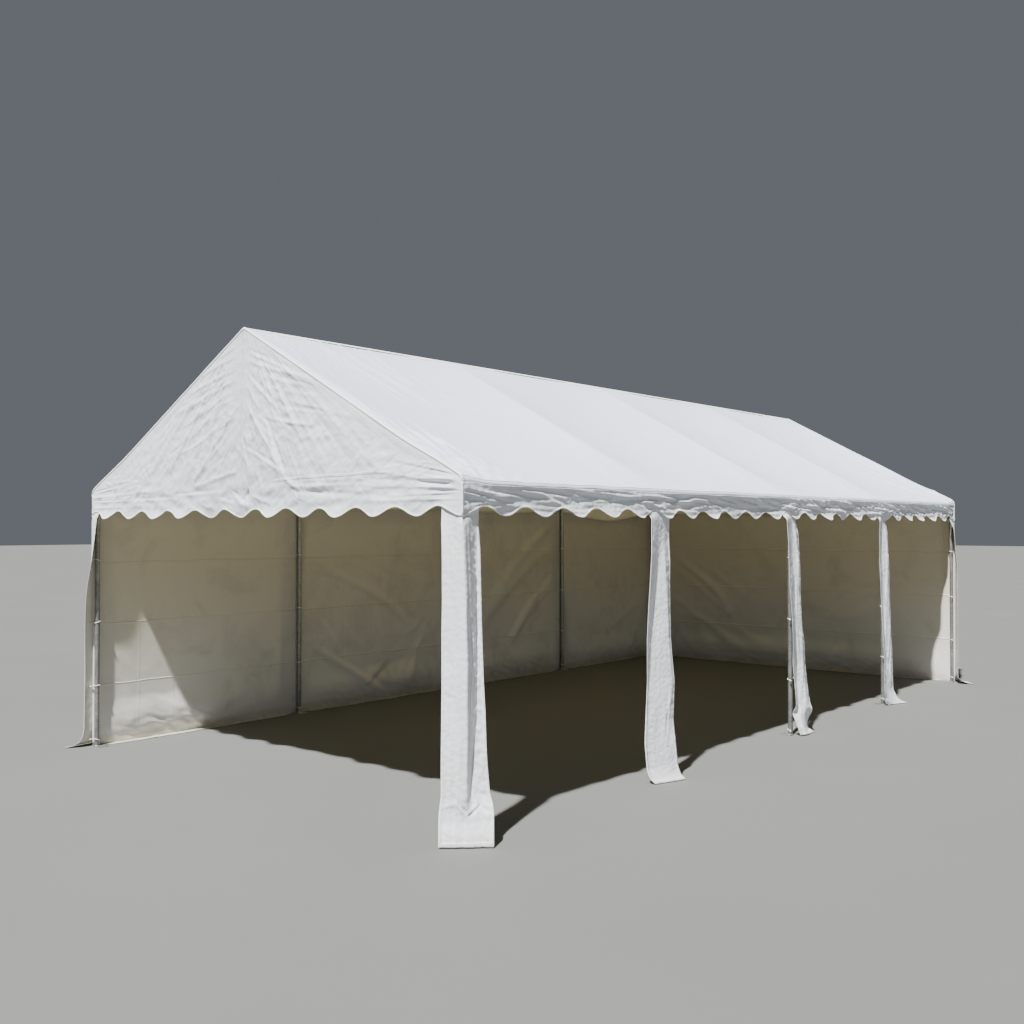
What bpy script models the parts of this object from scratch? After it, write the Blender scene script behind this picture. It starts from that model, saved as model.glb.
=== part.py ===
"""Marquee tent, four metres by eight: a frame of steel tubes under a white cover.

The front gable end (-Y) and the right long side (+X) are open. The left side and the back end have walls.
Metres, +Z up. The origin is on the ground, in the middle of the tent. +Y runs from the front to the back.
"""
import math

import bmesh
import bpy
from mathutils import Matrix, Vector

# Overall size, measured over the cover
COVER_WIDTH = 4.0
COVER_LENGTH = 8.0
EAVE_HEIGHT = 1.983
ROOF_PITCH = math.radians(28.3)
BAY_COUNT = 4

# Steel tubes and the sleeves of their connectors
TUBE_RADIUS = 0.019
SLEEVE_WALL = 0.0027
SLEEVE_LENGTH = 0.13
SLEEVE_STOP = 0.045
CROSS_SLEEVE_LENGTH = 0.17
TUBE_SIDES = 12

# Foot plates, set inwards so that the cloth hangs past them
FOOT_LENGTH = 0.10
FOOT_WIDTH = 0.09
FOOT_THICKNESS = 0.005

# Cloth, thicker than the real half millimetre
CLOTH = 0.003
HEM_LIFT = 0.004
VALANCE_DROP = 0.193
SCALLOP_DEPTH = 0.055
SCALLOP_PITCH = 1.0 / 3.0
SCALLOP_STEPS = 6

# Wall cloth: between two posts its foot bellies inwards
WALL_BELLY = 0.05
WALL_BELLY_HEIGHT = 0.5

# Leg covers: strips of cloth outside the posts, kicked out at the foot
LEG_COVER_WIDTH = 0.27
CORNER_WING = 0.155
LEG_COVER_KICK = 0.09
CORNER_KICK = 0.08
CORNER_OPENING = 0.7
KICK_POWER = 2.5

# Clearance between pieces that touch
GAP = 0.0003

# Values worked out from the sizes above
SLEEVE_RADIUS = TUBE_RADIUS + GAP + SLEEVE_WALL
LAYER = CLOTH + GAP
POST_X = COVER_WIDTH / 2 - SLEEVE_RADIUS - 3 * LAYER
END_Y = COVER_LENGTH / 2 - SLEEVE_RADIUS - 3 * LAYER
BAY_LENGTH = 2 * END_Y / BAY_COUNT
COVER_ABOVE_AXIS = (SLEEVE_RADIUS + LAYER) / math.cos(ROOF_PITCH)
FRAME_YS = [index * BAY_LENGTH - END_Y for index in range(BAY_COUNT + 1)]

STEEL = ("galvanised_steel", (0.42, 0.43, 0.43, 1.0), 0.42, 0.9)
ROOF_CLOTH = ("roof_cloth", (0.86, 0.87, 0.88, 1.0), 0.45, 0.0)
WALL_CLOTH = ("wall_cloth", (0.74, 0.73, 0.69, 1.0), 0.5, 0.0)
LEG_CLOTH = ("leg_cloth", (0.84, 0.85, 0.86, 1.0), 0.48, 0.0)


def cover_top(x):
    """Height of the roof cover's upper face at x."""
    return EAVE_HEIGHT + (COVER_WIDTH / 2 - abs(x)) * math.tan(ROOF_PITCH)


def cover_underside(x):
    """Height of the roof cover's lower face at x."""
    return cover_top(x) - CLOTH / math.cos(ROOF_PITCH)


def frame_axis(x):
    """Height of the rafters' axes at x, where the sleeves just clear the cover."""
    return cover_top(x) - COVER_ABOVE_AXIS


def layer_offset(layer):
    """Distance from a post's axis to the middle of the cloth in the given layer, counted outwards."""
    return SLEEVE_RADIUS + (layer - 1) * LAYER + GAP + CLOTH / 2


def clear_scene():
    """Remove every object of the scene."""
    for item in list(bpy.data.objects):
        bpy.data.objects.remove(item, do_unlink=True)


def make_collection(name):
    """Make a collection under the scene's own."""
    collection = bpy.data.collections.new(name)
    bpy.context.scene.collection.children.link(collection)
    return collection


def make_material(settings):
    """Make a plain material, or return the one of that name."""
    name, colour, roughness, metallic = settings
    material = bpy.data.materials.get(name)
    if material is None:
        material = bpy.data.materials.new(name)
        material.use_nodes = True
        shader = material.node_tree.nodes["Principled BSDF"]
        shader.inputs["Base Color"].default_value = colour
        shader.inputs["Roughness"].default_value = roughness
        shader.inputs["Metallic"].default_value = metallic
        material.diffuse_color = colour
    return material


def finish_object(name, data, collection, finish):
    """Link data as an object of its collection, with its own material."""
    item = bpy.data.objects.new(name, data)
    collection.objects.link(item)
    if finish:
        data.materials.append(make_material(finish))
    return item


def mesh_of(shape, name):
    """Turn a bmesh into a mesh and free it."""
    mesh = bpy.data.meshes.new(name)
    shape.to_mesh(mesh)
    shape.free()
    return mesh


def add_tube(shape, start, end, radius):
    """Add a closed cylinder from start to end to a bmesh."""
    start, end = Vector(start), Vector(end)
    along = end - start
    turn = along.to_track_quat("Z", "Y").to_matrix().to_4x4()
    place = Matrix.Translation((start + end) / 2) @ turn
    bmesh.ops.create_cone(shape, cap_ends=True, segments=TUBE_SIDES, radius1=radius, radius2=radius,
                          depth=along.length, matrix=place)


def tubes_object(name, tubes, collection, finish=None):
    """Make one object of cylinders, each given as start, end and radius."""
    shape = bmesh.new()
    for start, end, radius in tubes:
        add_tube(shape, start, end, radius)
    mesh = mesh_of(shape, name)
    mesh.shade_smooth()
    mesh.set_sharp_from_angle(angle=math.radians(35))
    return finish_object(name, mesh, collection, finish)


def helper(item):
    """Mark an object as a cutter or guide of another."""
    item.hide_render = True
    item.display_type = "WIRE"
    return item


def combine(item, other, operation):
    """Join another solid to an object, or cut it out of the object."""
    modifier = item.modifiers.new(other.name, "BOOLEAN")
    modifier.operation = operation
    modifier.solver = "EXACT"
    modifier.object = other


def slope_direction(side, rise):
    """Unit vector along a slope: side is -1 or 1, rise is 1 towards the ridge and -1 towards the eave."""
    return Vector((-side * rise * math.cos(ROOF_PITCH), 0.0, rise * math.sin(ROOF_PITCH)))


def build_rail(name, x, arms, parts, helpers):
    """Build a rail along Y, with a connector on each frame whose sleeves point along the arms."""
    height = frame_axis(x)
    run = END_Y + SLEEVE_RADIUS
    rail = tubes_object(name, [((x, -run, height), (x, run, height), TUBE_RADIUS)], parts, STEEL)
    half = CROSS_SLEEVE_LENGTH / 2
    crosses = []
    for y in FRAME_YS:
        low = max(y - half, -run - GAP)
        high = min(y + half, run + GAP)
        crosses.append(((x, low, height), (x, high, height), SLEEVE_RADIUS))
    cross = helper(tubes_object(name + "_cross_sleeves", crosses, helpers))
    combine(rail, cross, "UNION")
    for index, arm in enumerate(arms):
        nodes = [Vector((x, y, height)) for y in FRAME_YS]
        sleeves = [(node, node + arm * SLEEVE_LENGTH, SLEEVE_RADIUS) for node in nodes]
        sleeve = helper(tubes_object(f"{name}_sleeves_{index + 1}", sleeves, helpers))
        combine(rail, sleeve, "UNION")
    for index, arm in enumerate(arms):
        reach = SLEEVE_LENGTH + SLEEVE_WALL
        bores = [(node + arm * SLEEVE_STOP, node + arm * reach, TUBE_RADIUS + GAP) for node in nodes]
        bore = helper(tubes_object(f"{name}_bores_{index + 1}", bores, helpers))
        combine(rail, bore, "DIFFERENCE")
    return rail


def build_rafter(name, side, y, parts):
    """Build a rafter from the eave connector's sleeve to the ridge connector's."""
    eave = Vector((side * POST_X, y, frame_axis(POST_X)))
    ridge = Vector((0.0, y, frame_axis(0.0)))
    up = slope_direction(side, 1)
    stop = SLEEVE_STOP + GAP
    return tubes_object(name, [(eave + up * stop, ridge - up * stop, TUBE_RADIUS)], parts, STEEL)


def build_post(name, side, y, parts, helpers):
    """Build a post with its foot plate, up into the eave connector's sleeve."""
    x = side * POST_X
    top = frame_axis(POST_X) - SLEEVE_STOP - GAP
    post = tubes_object(name, [((x, y, FOOT_THICKNESS / 2), (x, y, top), TUBE_RADIUS)], parts, STEEL)
    inward = Vector((-side, 0.0))
    if abs(y) > END_Y - SLEEVE_RADIUS:
        inward.y = -math.copysign(1.0, y)
    shift_x = inward.x * (FOOT_LENGTH / 2 - SLEEVE_RADIUS)
    shift_y = inward.y * (FOOT_WIDTH / 2 - SLEEVE_RADIUS)
    shape = bmesh.new()
    scale = Matrix.Diagonal((FOOT_LENGTH, FOOT_WIDTH, FOOT_THICKNESS, 1.0))
    place = Matrix.Translation((x + shift_x, y + shift_y, FOOT_THICKNESS / 2))
    bmesh.ops.create_cube(shape, size=1.0, matrix=place @ scale)
    plate = helper(finish_object(name + "_plate", mesh_of(shape, name + "_plate"), helpers, None))
    combine(post, plate, "UNION")
    return post


def outline_object(name, outline, thickness, place, parts, finish):
    """Build a flat solid from an outline in its own XY plane, half its thickness to each side."""
    curve = bpy.data.curves.new(name, "CURVE")
    curve.dimensions = "2D"
    curve.fill_mode = "BOTH"
    curve.extrude = thickness / 2
    spline = curve.splines.new("POLY")
    spline.points.add(len(outline) - 1)
    for point, (across, up) in zip(spline.points, outline):
        point.co = (across, up, 0.0, 1.0)
    spline.use_cyclic_u = True
    item = finish_object(name, curve, parts, finish)
    item.matrix_world = place
    return item


def facing_y(y):
    """Placement of an outline whose own X and Y are the tent's X and Z."""
    return Matrix.Translation((0.0, y, 0.0)) @ Matrix.Rotation(math.radians(90), 4, "X")


def facing_x(x):
    """Placement of an outline whose own X and Y are the tent's Y and Z."""
    turn = Matrix.Rotation(math.radians(90), 4, "Z") @ Matrix.Rotation(math.radians(90), 4, "X")
    return Matrix.Translation((x, 0.0, 0.0)) @ turn


def scalloped_edge(length):
    """Points of a waved lower edge from one end to the other, lowest at both ends."""
    waves = max(1, round(length / SCALLOP_PITCH))
    count = waves * SCALLOP_STEPS
    low = EAVE_HEIGHT - VALANCE_DROP
    points = []
    for index in range(count + 1):
        share = index / count
        rise = SCALLOP_DEPTH * (1 - math.cos(2 * math.pi * waves * share)) / 2
        points.append(((share - 0.5) * length, low + rise))
    return points


def build_roof_slope(name, side, parts):
    """Build one slope of the roof cover, mitred against the other at the ridge."""
    inner, outer = GAP / 2, COVER_WIDTH / 2
    outline = [(side * inner, cover_top(inner)), (side * outer, cover_top(outer)),
               (side * outer, cover_underside(outer)), (side * inner, cover_underside(inner))]
    return outline_object(name, outline, COVER_LENGTH - 2 * LAYER, facing_y(0.0), parts, ROOF_CLOTH)


def build_gable(name, end, parts):
    """Build a gable triangle with its scalloped valance."""
    outline = scalloped_edge(COVER_WIDTH)
    outline += [(COVER_WIDTH / 2, EAVE_HEIGHT), (0.0, cover_top(0.0)), (-COVER_WIDTH / 2, EAVE_HEIGHT)]
    y = end * (COVER_LENGTH - CLOTH) / 2
    return outline_object(name, outline, CLOTH, facing_y(y), parts, ROOF_CLOTH)


def build_valance(name, side, parts):
    """Build the scalloped valance of a long side, hung from the edge of the roof slope."""
    length = COVER_LENGTH - 2 * LAYER
    top = cover_underside(COVER_WIDTH / 2) - GAP
    outline = scalloped_edge(length) + [(length / 2, top), (-length / 2, top)]
    x = side * (COVER_WIDTH - CLOTH) / 2
    return outline_object(name, outline, CLOTH, facing_x(x), parts, ROOF_CLOTH)


def sheet_object(name, place, across, down, parts, finish):
    """Build a cloth of the given steps, where place(u, v) gives its points, v = 0 at the top."""
    shape = bmesh.new()
    bmesh.ops.create_grid(shape, x_segments=across, y_segments=down, size=0.5)
    for vertex in shape.verts:
        vertex.co = place(vertex.co.x + 0.5, 0.5 - vertex.co.y)
    item = finish_object(name, mesh_of(shape, name), parts, finish)
    solid = item.modifiers.new("thickness", "SOLIDIFY")
    solid.thickness = CLOTH
    solid.offset = 0.0
    solid.use_even_offset = True
    return item


def fall(top, v):
    """Height at v down a hanging cloth, with shorter steps towards its foot."""
    return top - (top - HEM_LIFT) * (1 - (1 - v) ** 1.6)


def belly(u, height):
    """How far a wall's cloth leans inwards at u between two posts and at a height."""
    if height > WALL_BELLY_HEIGHT:
        return 0.0
    return WALL_BELLY * math.sin(math.pi * u) ** 2 * math.sin(math.pi * height / WALL_BELLY_HEIGHT) ** 2


def build_side_wall(name, side, bay, parts):
    """Build the wall of one bay, hung outside two posts."""
    reach = END_Y + SLEEVE_RADIUS
    start = -reach if bay == 0 else FRAME_YS[bay] + GAP / 2
    end = reach if bay == BAY_COUNT - 1 else FRAME_YS[bay + 1] - GAP / 2
    top = frame_axis(POST_X)

    def place(u, v):
        height = fall(top, v)
        x = side * (POST_X + layer_offset(1) - belly(u, height))
        return (x, start + (end - start) * u, height)

    return sheet_object(name, place, 8, 12, parts, WALL_CLOTH)


def build_back_wall(name, parts):
    """Build the wall of the back gable end."""
    reach = POST_X + SLEEVE_RADIUS
    top = frame_axis(POST_X)

    def place(u, v):
        height = fall(top, v)
        return (reach * (2 * u - 1), END_Y + layer_offset(1) - belly(u, height), height)

    return sheet_object(name, place, 12, 12, parts, WALL_CLOTH)


def build_leg_cover(name, side, y, parts):
    """Build the strip of cloth outside a post between two bays."""
    x = POST_X + layer_offset(2)
    top = cover_underside(x + CLOTH / 2) - GAP

    def place(u, v):
        kick = LEG_COVER_KICK * v ** KICK_POWER
        return (side * (x + kick), y + LEG_COVER_WIDTH * (u - 0.5), fall(top, v))

    return sheet_object(name, place, 4, 12, parts, LEG_CLOTH)


def build_corner_cover(name, side, end, parts):
    """Build the L-shaped strip round a corner post, which opens and kicks out towards its foot."""
    corner = Vector((POST_X + layer_offset(2), END_Y + layer_offset(2)))
    top = cover_underside(corner.x + CLOTH / 2) - GAP
    chord = Vector((1.0, -1.0)).normalized()
    outward = Vector((1.0, 1.0)).normalized()
    gable_wing, side_wing = Vector((-1.0, 0.0)), Vector((0.0, -1.0))
    opened_gable_wing = (gable_wing - chord * CORNER_OPENING).normalized()
    opened_side_wing = (side_wing + chord * CORNER_OPENING).normalized()

    def place(u, v):
        along = abs(2 * u - 1) * CORNER_WING
        closed, opened = (gable_wing, opened_gable_wing) if u < 0.5 else (side_wing, opened_side_wing)
        share = v ** KICK_POWER
        flat = corner + outward * (CORNER_KICK * share) + closed.lerp(opened, share).normalized() * along
        return (side * flat.x, end * flat.y, fall(top, v))

    return sheet_object(name, place, 6, 12, parts, LEG_CLOTH)


def build_frame(parts, helpers):
    """Build the steel frame: rails, posts and rafters."""
    down = Vector((0.0, 0.0, -1.0))
    for word, side in (("left", -1), ("right", 1)):
        build_rail(f"eave_rail_{word}", side * POST_X, [down, slope_direction(side, 1)], parts, helpers)
    build_rail("ridge_rail", 0.0, [slope_direction(-1, -1), slope_direction(1, -1)], parts, helpers)
    for word, side in (("left", -1), ("right", 1)):
        for number, y in enumerate(FRAME_YS, 1):
            build_post(f"post_{word}_{number}", side, y, parts, helpers)
            build_rafter(f"rafter_{word}_{number}", side, y, parts)


def build_cover(parts):
    """Build the cloth: roof, gables, valances, walls and leg covers."""
    for word, side in (("left", -1), ("right", 1)):
        build_roof_slope(f"roof_slope_{word}", side, parts)
        build_valance(f"valance_{word}", side, parts)
        for number, y in enumerate(FRAME_YS, 1):
            name = f"leg_cover_{word}_{number}"
            if number in (1, len(FRAME_YS)):
                build_corner_cover(name, side, math.copysign(1.0, y), parts)
            else:
                build_leg_cover(name, side, y, parts)
    build_gable("gable_front", -1, parts)
    build_gable("gable_back", 1, parts)
    for bay in range(BAY_COUNT):
        build_side_wall(f"wall_left_{bay + 1}", -1, bay, parts)
    build_back_wall("wall_back", parts)


def main():
    """Build the tent."""
    clear_scene()
    parts = make_collection("marquee_tent")
    helpers = make_collection("cutters")
    build_frame(parts, helpers)
    build_cover(parts)


main()
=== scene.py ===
"""Dresses the marquee tent: coated cloth with its folds, welds and ties, over a frame of galvanised tube.

Metres, +Z up. +Y runs from the open front gable to the closed back gable, +X towards the open long side.
"""
import logging
import math
from collections.abc import Callable, Sequence
from dataclasses import dataclass, replace
from enum import Enum

import bmesh
import bpy
import numpy as np
from mathutils import Matrix, Vector


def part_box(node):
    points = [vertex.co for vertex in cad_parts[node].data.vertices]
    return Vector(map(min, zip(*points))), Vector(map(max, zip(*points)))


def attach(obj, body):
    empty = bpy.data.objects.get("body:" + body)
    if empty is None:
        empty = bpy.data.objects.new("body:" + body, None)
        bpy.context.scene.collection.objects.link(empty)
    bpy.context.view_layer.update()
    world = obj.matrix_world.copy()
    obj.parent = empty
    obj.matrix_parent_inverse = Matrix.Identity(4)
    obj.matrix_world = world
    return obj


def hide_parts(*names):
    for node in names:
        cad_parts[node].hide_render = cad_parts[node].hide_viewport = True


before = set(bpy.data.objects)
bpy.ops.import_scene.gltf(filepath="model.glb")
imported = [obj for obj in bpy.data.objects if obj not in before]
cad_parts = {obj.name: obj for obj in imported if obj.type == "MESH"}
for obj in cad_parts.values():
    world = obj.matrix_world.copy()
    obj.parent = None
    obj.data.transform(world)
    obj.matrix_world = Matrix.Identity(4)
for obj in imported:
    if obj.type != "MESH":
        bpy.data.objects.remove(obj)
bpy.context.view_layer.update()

LOG = logging.getLogger("marquee_tent")
MM = 0.001
BODY = "root"

# Steel, as in the frame
TUBE_RADIUS = 0.019
TUBE_SIDES = 28
SLEEVE_RADIUS = 0.022
SLEEVE_LENGTH = 0.13
CROSS_SLEEVE_LENGTH = 0.17
COVER_GAP = 0.0033
# Cloth: 0.6 mm in the real tent, drawn 1 mm thick, and welded or hemmed double
CLOTH_THICKNESS = 0.001
WELD_THICKNESS = 0.0024
HEM_LIFT = 0.003
HEM_WIDTH = 0.016
SCALLOP_DEPTH = 0.055
# Where a wall was folded for storage: every so far along it, and at these heights
CREASE_GRID = (0.31, 0.4825)
CREASE_LEVELS = (0.4775, 0.96, 1.4425)

Array = np.ndarray
Pair = tuple[float, float]
Place = Callable[[Array, Array], Array]
Shape = bmesh.types.BMesh
Piece = bpy.types.Object
Socket = bpy.types.NodeSocket


class Side(Enum):
    """A long side of the tent, by the sign of its x."""

    LEFT = -1
    RIGHT = 1


class End(Enum):
    """A gable end of the tent, by the sign of its y."""

    FRONT = -1
    BACK = 1


class FoldForm(Enum):
    """How a fold's section looks: a soft wave, a sharp crest, or a step where the cloth laps over."""

    SOFT = "soft"
    CREASE = "crease"
    LAP = "lap"


SOFT, CREASE, LAP = FoldForm.SOFT, FoldForm.CREASE, FoldForm.LAP


def smooth_step(low: float, high: float, value: Array) -> Array:
    """Rise smoothly from 0 at low to 1 at high."""
    share = np.clip((value - low) / (high - low), 0.0, 1.0)
    return share * share * (3.0 - 2.0 * share)


def bell(value: Array, width: float) -> Array:
    """Fall smoothly from 1 where the value is 0, over about a width to each side."""
    return np.exp(-(value / width) ** 2)


@dataclass(frozen=True)
class Ripple:
    """Smooth random relief, the same on each run.

    seed picks the pattern, and size is the length of a wave along each of its two directions.
    """

    seed: int
    size: Pair

    def at(self, s: Array, t: Array) -> Array:
        """Give the relief at places of the cloth.

        Args:
            s: Distances along the first direction.
            t: Distances along the second direction.

        Returns:
            Values from about -1 to 1.
        """
        count, origin, gain = 97, (31.7, 17.3), 1.5
        angles = np.random.default_rng(self.seed).uniform(0.0, 2.0 * math.pi, (count, count))
        x, y = s / self.size[0] + origin[0], t / self.size[1] + origin[1]
        column, row = np.floor(x).astype(int), np.floor(y).astype(int)
        dx, dy = x - column, y - row
        ease_x, ease_y = (d * d * d * (d * (6.0 * d - 15.0) + 10.0) for d in (dx, dy))
        total = np.zeros_like(x)
        for step_x in (0, 1):
            for step_y in (0, 1):
                turn = angles[(row + step_y) % count, (column + step_x) % count]
                slope = np.cos(turn) * (dx - step_x) + np.sin(turn) * (dy - step_y)
                weight_x = ease_x if step_x else 1.0 - ease_x
                weight_y = ease_y if step_y else 1.0 - ease_y
                total += slope * weight_x * weight_y
        return total * gain

    def line(self, s: Array) -> Array:
        """Give the relief along the first direction alone."""
        return self.at(s, np.zeros_like(s))


@dataclass(frozen=True)
class Fold:
    """One fold of a cloth, along a line in the cloth's own plane.

    height is how far it stands out (negative for a valley) and width is half its breadth. bend bows the
    line sideways at its middle.
    """

    start: Pair
    end: Pair
    height: float
    width: float
    form: FoldForm = SOFT
    bend: float = 0.0

    def relief(self, s: Array, t: Array) -> Array:
        """Give how far the fold lifts the cloth.

        Args:
            s: Places along the cloth's plane.
            t: Places across it.

        Returns:
            The lift.
        """
        run_s, run_t = self.end[0] - self.start[0], self.end[1] - self.start[1]
        length = math.hypot(run_s, run_t)
        along = ((s - self.start[0]) * run_s + (t - self.start[1]) * run_t) / length ** 2
        aside = ((s - self.start[0]) * run_t - (t - self.start[1]) * run_s) / length
        held = np.clip(along, 0.0, 1.0)
        aside = aside - self.bend * 4.0 * held * (1.0 - held)
        # A fold fades in quickly, and widens and dies away towards its end
        fade = smooth_step(-0.10, 0.15, along) * (1.0 - smooth_step(0.75, 1.12, along))
        breadth = aside / (self.width * (0.7 + 0.6 * held))
        if self.form is SOFT:
            section = np.exp(-breadth ** 2)
        elif self.form is CREASE:
            section = np.exp(-np.sqrt(breadth ** 2 + 0.02) + 0.14)
        else:
            section = 1.15 * breadth * np.exp(-breadth ** 2)
        return self.height * fade * section


def fold_rows(*rows: tuple, shift: float = 0.0) -> list[Fold]:
    """Make folds of rows of plain numbers.

    Args:
        rows: The start's two places, the end's two, height and width, and the form where it isn't soft.
        shift: Moves the first of each two places.

    Returns:
        The folds, in the rows' order.
    """
    return [Fold((shift + s_0, t_0), (shift + s_1, t_1), height, width, *form)
            for s_0, t_0, s_1, t_1, height, width, *form in rows]


@dataclass(frozen=True)
class FoldField:
    """Many small folds of one kind, scattered over a region of a cloth.

    starts and runs give the least and most s and t of the folds' starts and of their lengths. heights and
    widths give the least and most of those.
    """

    seed: int
    count: int
    starts: tuple[Pair, Pair]
    runs: tuple[Pair, Pair]
    heights: Pair = (0.002, 0.005)
    widths: Pair = (0.007, 0.012)
    most_bend: float = 0.02

    def folds(self) -> list[Fold]:
        """Scatter the folds."""
        rng = np.random.default_rng(self.seed)
        made = []
        for _ in range(self.count):
            start = tuple(rng.uniform(low, high) for low, high in self.starts)
            run = tuple(rng.uniform(low, high) for low, high in self.runs)
            form = (LAP, CREASE, SOFT)[rng.integers(3)]
            made.append(Fold(start, (start[0] + run[0], start[1] + run[1]), rng.uniform(*self.heights),
                             rng.uniform(*self.widths), form, rng.uniform(-self.most_bend, self.most_bend)))
        return made


def total_relief(folds: Sequence[Fold], s: Array, t: Array) -> Array:
    """Add up the relief of several folds.

    Args:
        folds: The folds.
        s: Places along the cloth's plane.
        t: Places across it.

    Returns:
        The relief at each place.
    """
    total = np.zeros_like(s)
    for fold in folds:
        total += fold.relief(s, t)
    return total


@dataclass(frozen=True)
class TentSizes:
    """The tent's main sizes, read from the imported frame."""

    half_width: float
    half_length: float
    eave: float
    ridge: float
    valance_low: float
    post_x: float
    end_y: float
    bays: int

    @classmethod
    def from_frame(cls) -> "TentSizes":
        """Read the sizes from the boxes of the CAD nodes."""
        gable_low, gable_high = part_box("gable_front")
        slope_low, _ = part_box("roof_slope_right")
        cloth = gable_high.y - gable_low.y
        rise = (gable_high.z - slope_low.z) / gable_high.x
        _, post_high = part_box("post_right_5")
        bays = sum(name.startswith("post_right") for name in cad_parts) - 1
        return cls(half_width=gable_high.x, half_length=-gable_low.y,
                   eave=slope_low.z + cloth * math.hypot(1.0, rise), ridge=gable_high.z,
                   valance_low=gable_low.z, post_x=post_high.x - TUBE_RADIUS,
                   end_y=post_high.y - TUBE_RADIUS, bays=bays)

    @property
    def rise(self) -> float:
        """Slope of the roof, height over width."""
        return (self.ridge - self.eave) / self.half_width

    @property
    def pitch(self) -> float:
        """Angle of the roof."""
        return math.atan(self.rise)

    @property
    def slope_length(self) -> float:
        """Length of a roof slope from ridge to eave."""
        return math.hypot(self.half_width, self.ridge - self.eave)

    @property
    def bay(self) -> float:
        """Length of a bay."""
        return 2.0 * self.end_y / self.bays

    @property
    def frame_ys(self) -> list[float]:
        """Places of the frames along the tent."""
        return [index * self.bay - self.end_y for index in range(self.bays + 1)]

    def from_end(self, y: Array) -> Array:
        """Distance from the nearer gable."""
        return self.half_length - np.abs(y)

    def axis_height(self, x: float) -> float:
        """Height of the frame's tube axes under the cover at x."""
        under = (SLEEVE_RADIUS + COVER_GAP) / math.cos(self.pitch)
        return self.eave + self.rise * (self.half_width - abs(x)) - under

    def eave_turn(self, y: Array) -> tuple[Array, Array, Array]:
        """Give the arc in which the cover turns down over the eave, wider at the four corners.

        Args:
            y: Places along the tent.

        Returns:
            The arc's radius, and its centre's distance from the middle and height.
        """
        radius = 0.034 + 0.026 * bell(self.from_end(y), 0.07)
        level = self.eave + radius * self.rise - radius / math.cos(self.pitch)
        return radius, self.half_width - radius, level

    def corner_lift(self, x: Array, y: Array) -> Array:
        """Give how far the corner joints lift the cover above its plane."""
        beside = smooth_step(self.half_width - 0.55, self.half_width - 0.05, np.abs(x))
        return 0.025 * beside * bell(self.from_end(y), 0.13)

    def cover_height(self, x: Array, y: Array) -> Array:
        """Give the height of the cover's upper face, rounded over the ridge and the eaves.

        Args:
            x: Places across the tent.
            y: Places along it.

        Returns:
            The heights, without sags and folds.
        """
        soft = 0.008
        plane = self.eave + self.rise * (math.hypot(self.half_width, soft) - np.hypot(x, soft))
        radius, middle, level = self.eave_turn(y)
        beyond = np.abs(x) - middle
        arc = level + np.sqrt(np.clip(radius ** 2 - beyond ** 2, 0.0, None))
        height = np.where(beyond > radius * math.sin(self.pitch), arc, plane)
        return height + self.corner_lift(x, y)

    def bay_share(self, y: Array) -> Array:
        """Give the place within a bay, from 0 at one frame to 1 at the next."""
        place = np.clip((y + self.end_y) / self.bay, 0.0, self.bays - 1e-9)
        return place - np.floor(place)


@dataclass(frozen=True)
class ScallopEdge:
    """The waved lower edge of a valance.

    low is the height of its lobes and pitch their spacing, with a lobe at origin. drift lists places and how
    far the stretched cloth has carried the lobes along there.
    """

    low: float
    pitch: float
    origin: float
    drift: tuple[Pair, ...] = ((0.0, 0.0),)
    seed: int = 7
    most_lobes: int = 401

    def phase(self, along: Array) -> Array:
        """Count the lobes up to each place."""
        places, shifts = zip(*self.drift)
        return (along - np.interp(along, places, shifts) - self.origin) / self.pitch

    def height(self, along: Array) -> Array:
        """Give the height of the edge."""
        uneven = 0.004 * Ripple(self.seed, (0.5, 1.0)).line(along)
        wave = 1.0 - np.cos(2.0 * math.pi * self.phase(along))
        return self.low + uneven + SCALLOP_DEPTH * wave / 2.0

    def curl(self, along: Array, height: Array, most: float) -> Array:
        """Give how far each lobe curls out or in, more towards its lower edge.

        Args:
            along: Distances along the valance.
            height: Heights on it.
            most: The most that a lobe curls at the level of the scallops' tops.

        Returns:
            The curl, outwards.
        """
        place = self.phase(along) + self.most_lobes / 2.0
        index = np.floor(place).astype(int)
        tilts = np.random.default_rng(self.seed).uniform(-0.6, 1.0, self.most_lobes)
        centre = np.sin(math.pi * (place - index)) ** 2
        hang = np.clip((self.low + 1.3 * SCALLOP_DEPTH - height) / SCALLOP_DEPTH, 0.0, 1.4)
        return most * tilts[index] * centre * hang ** 1.5


def grid(rows: int, columns: int) -> tuple[Array, Array]:
    """Give u, from 0 to 1 along each row, and v, from 0 to 1 down each column."""
    u, v = np.meshgrid(np.linspace(0.0, 1.0, columns), np.linspace(0.0, 1.0, rows))
    return u, v


def link_object(name: str, data: bpy.types.ID) -> Piece:
    """Make an object of the data and link it to the scene."""
    item = bpy.data.objects.new(name, data)
    bpy.context.scene.collection.objects.link(item)
    return item


def shape_object(name: str, shape: Shape, *materials: bpy.types.Material) -> Piece:
    """Turn a shape into a smoothly shaded object.

    Args:
        name: The object's name.
        shape: The mesh as it is built, which is freed.
        materials: Its materials, in the order of the faces' numbers.

    Returns:
        The object.
    """
    mesh = bpy.data.meshes.new(name)
    shape.to_mesh(mesh)
    shape.free()
    mesh.shade_smooth()
    for material in materials:
        mesh.materials.append(material)
    return link_object(name, mesh)


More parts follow.
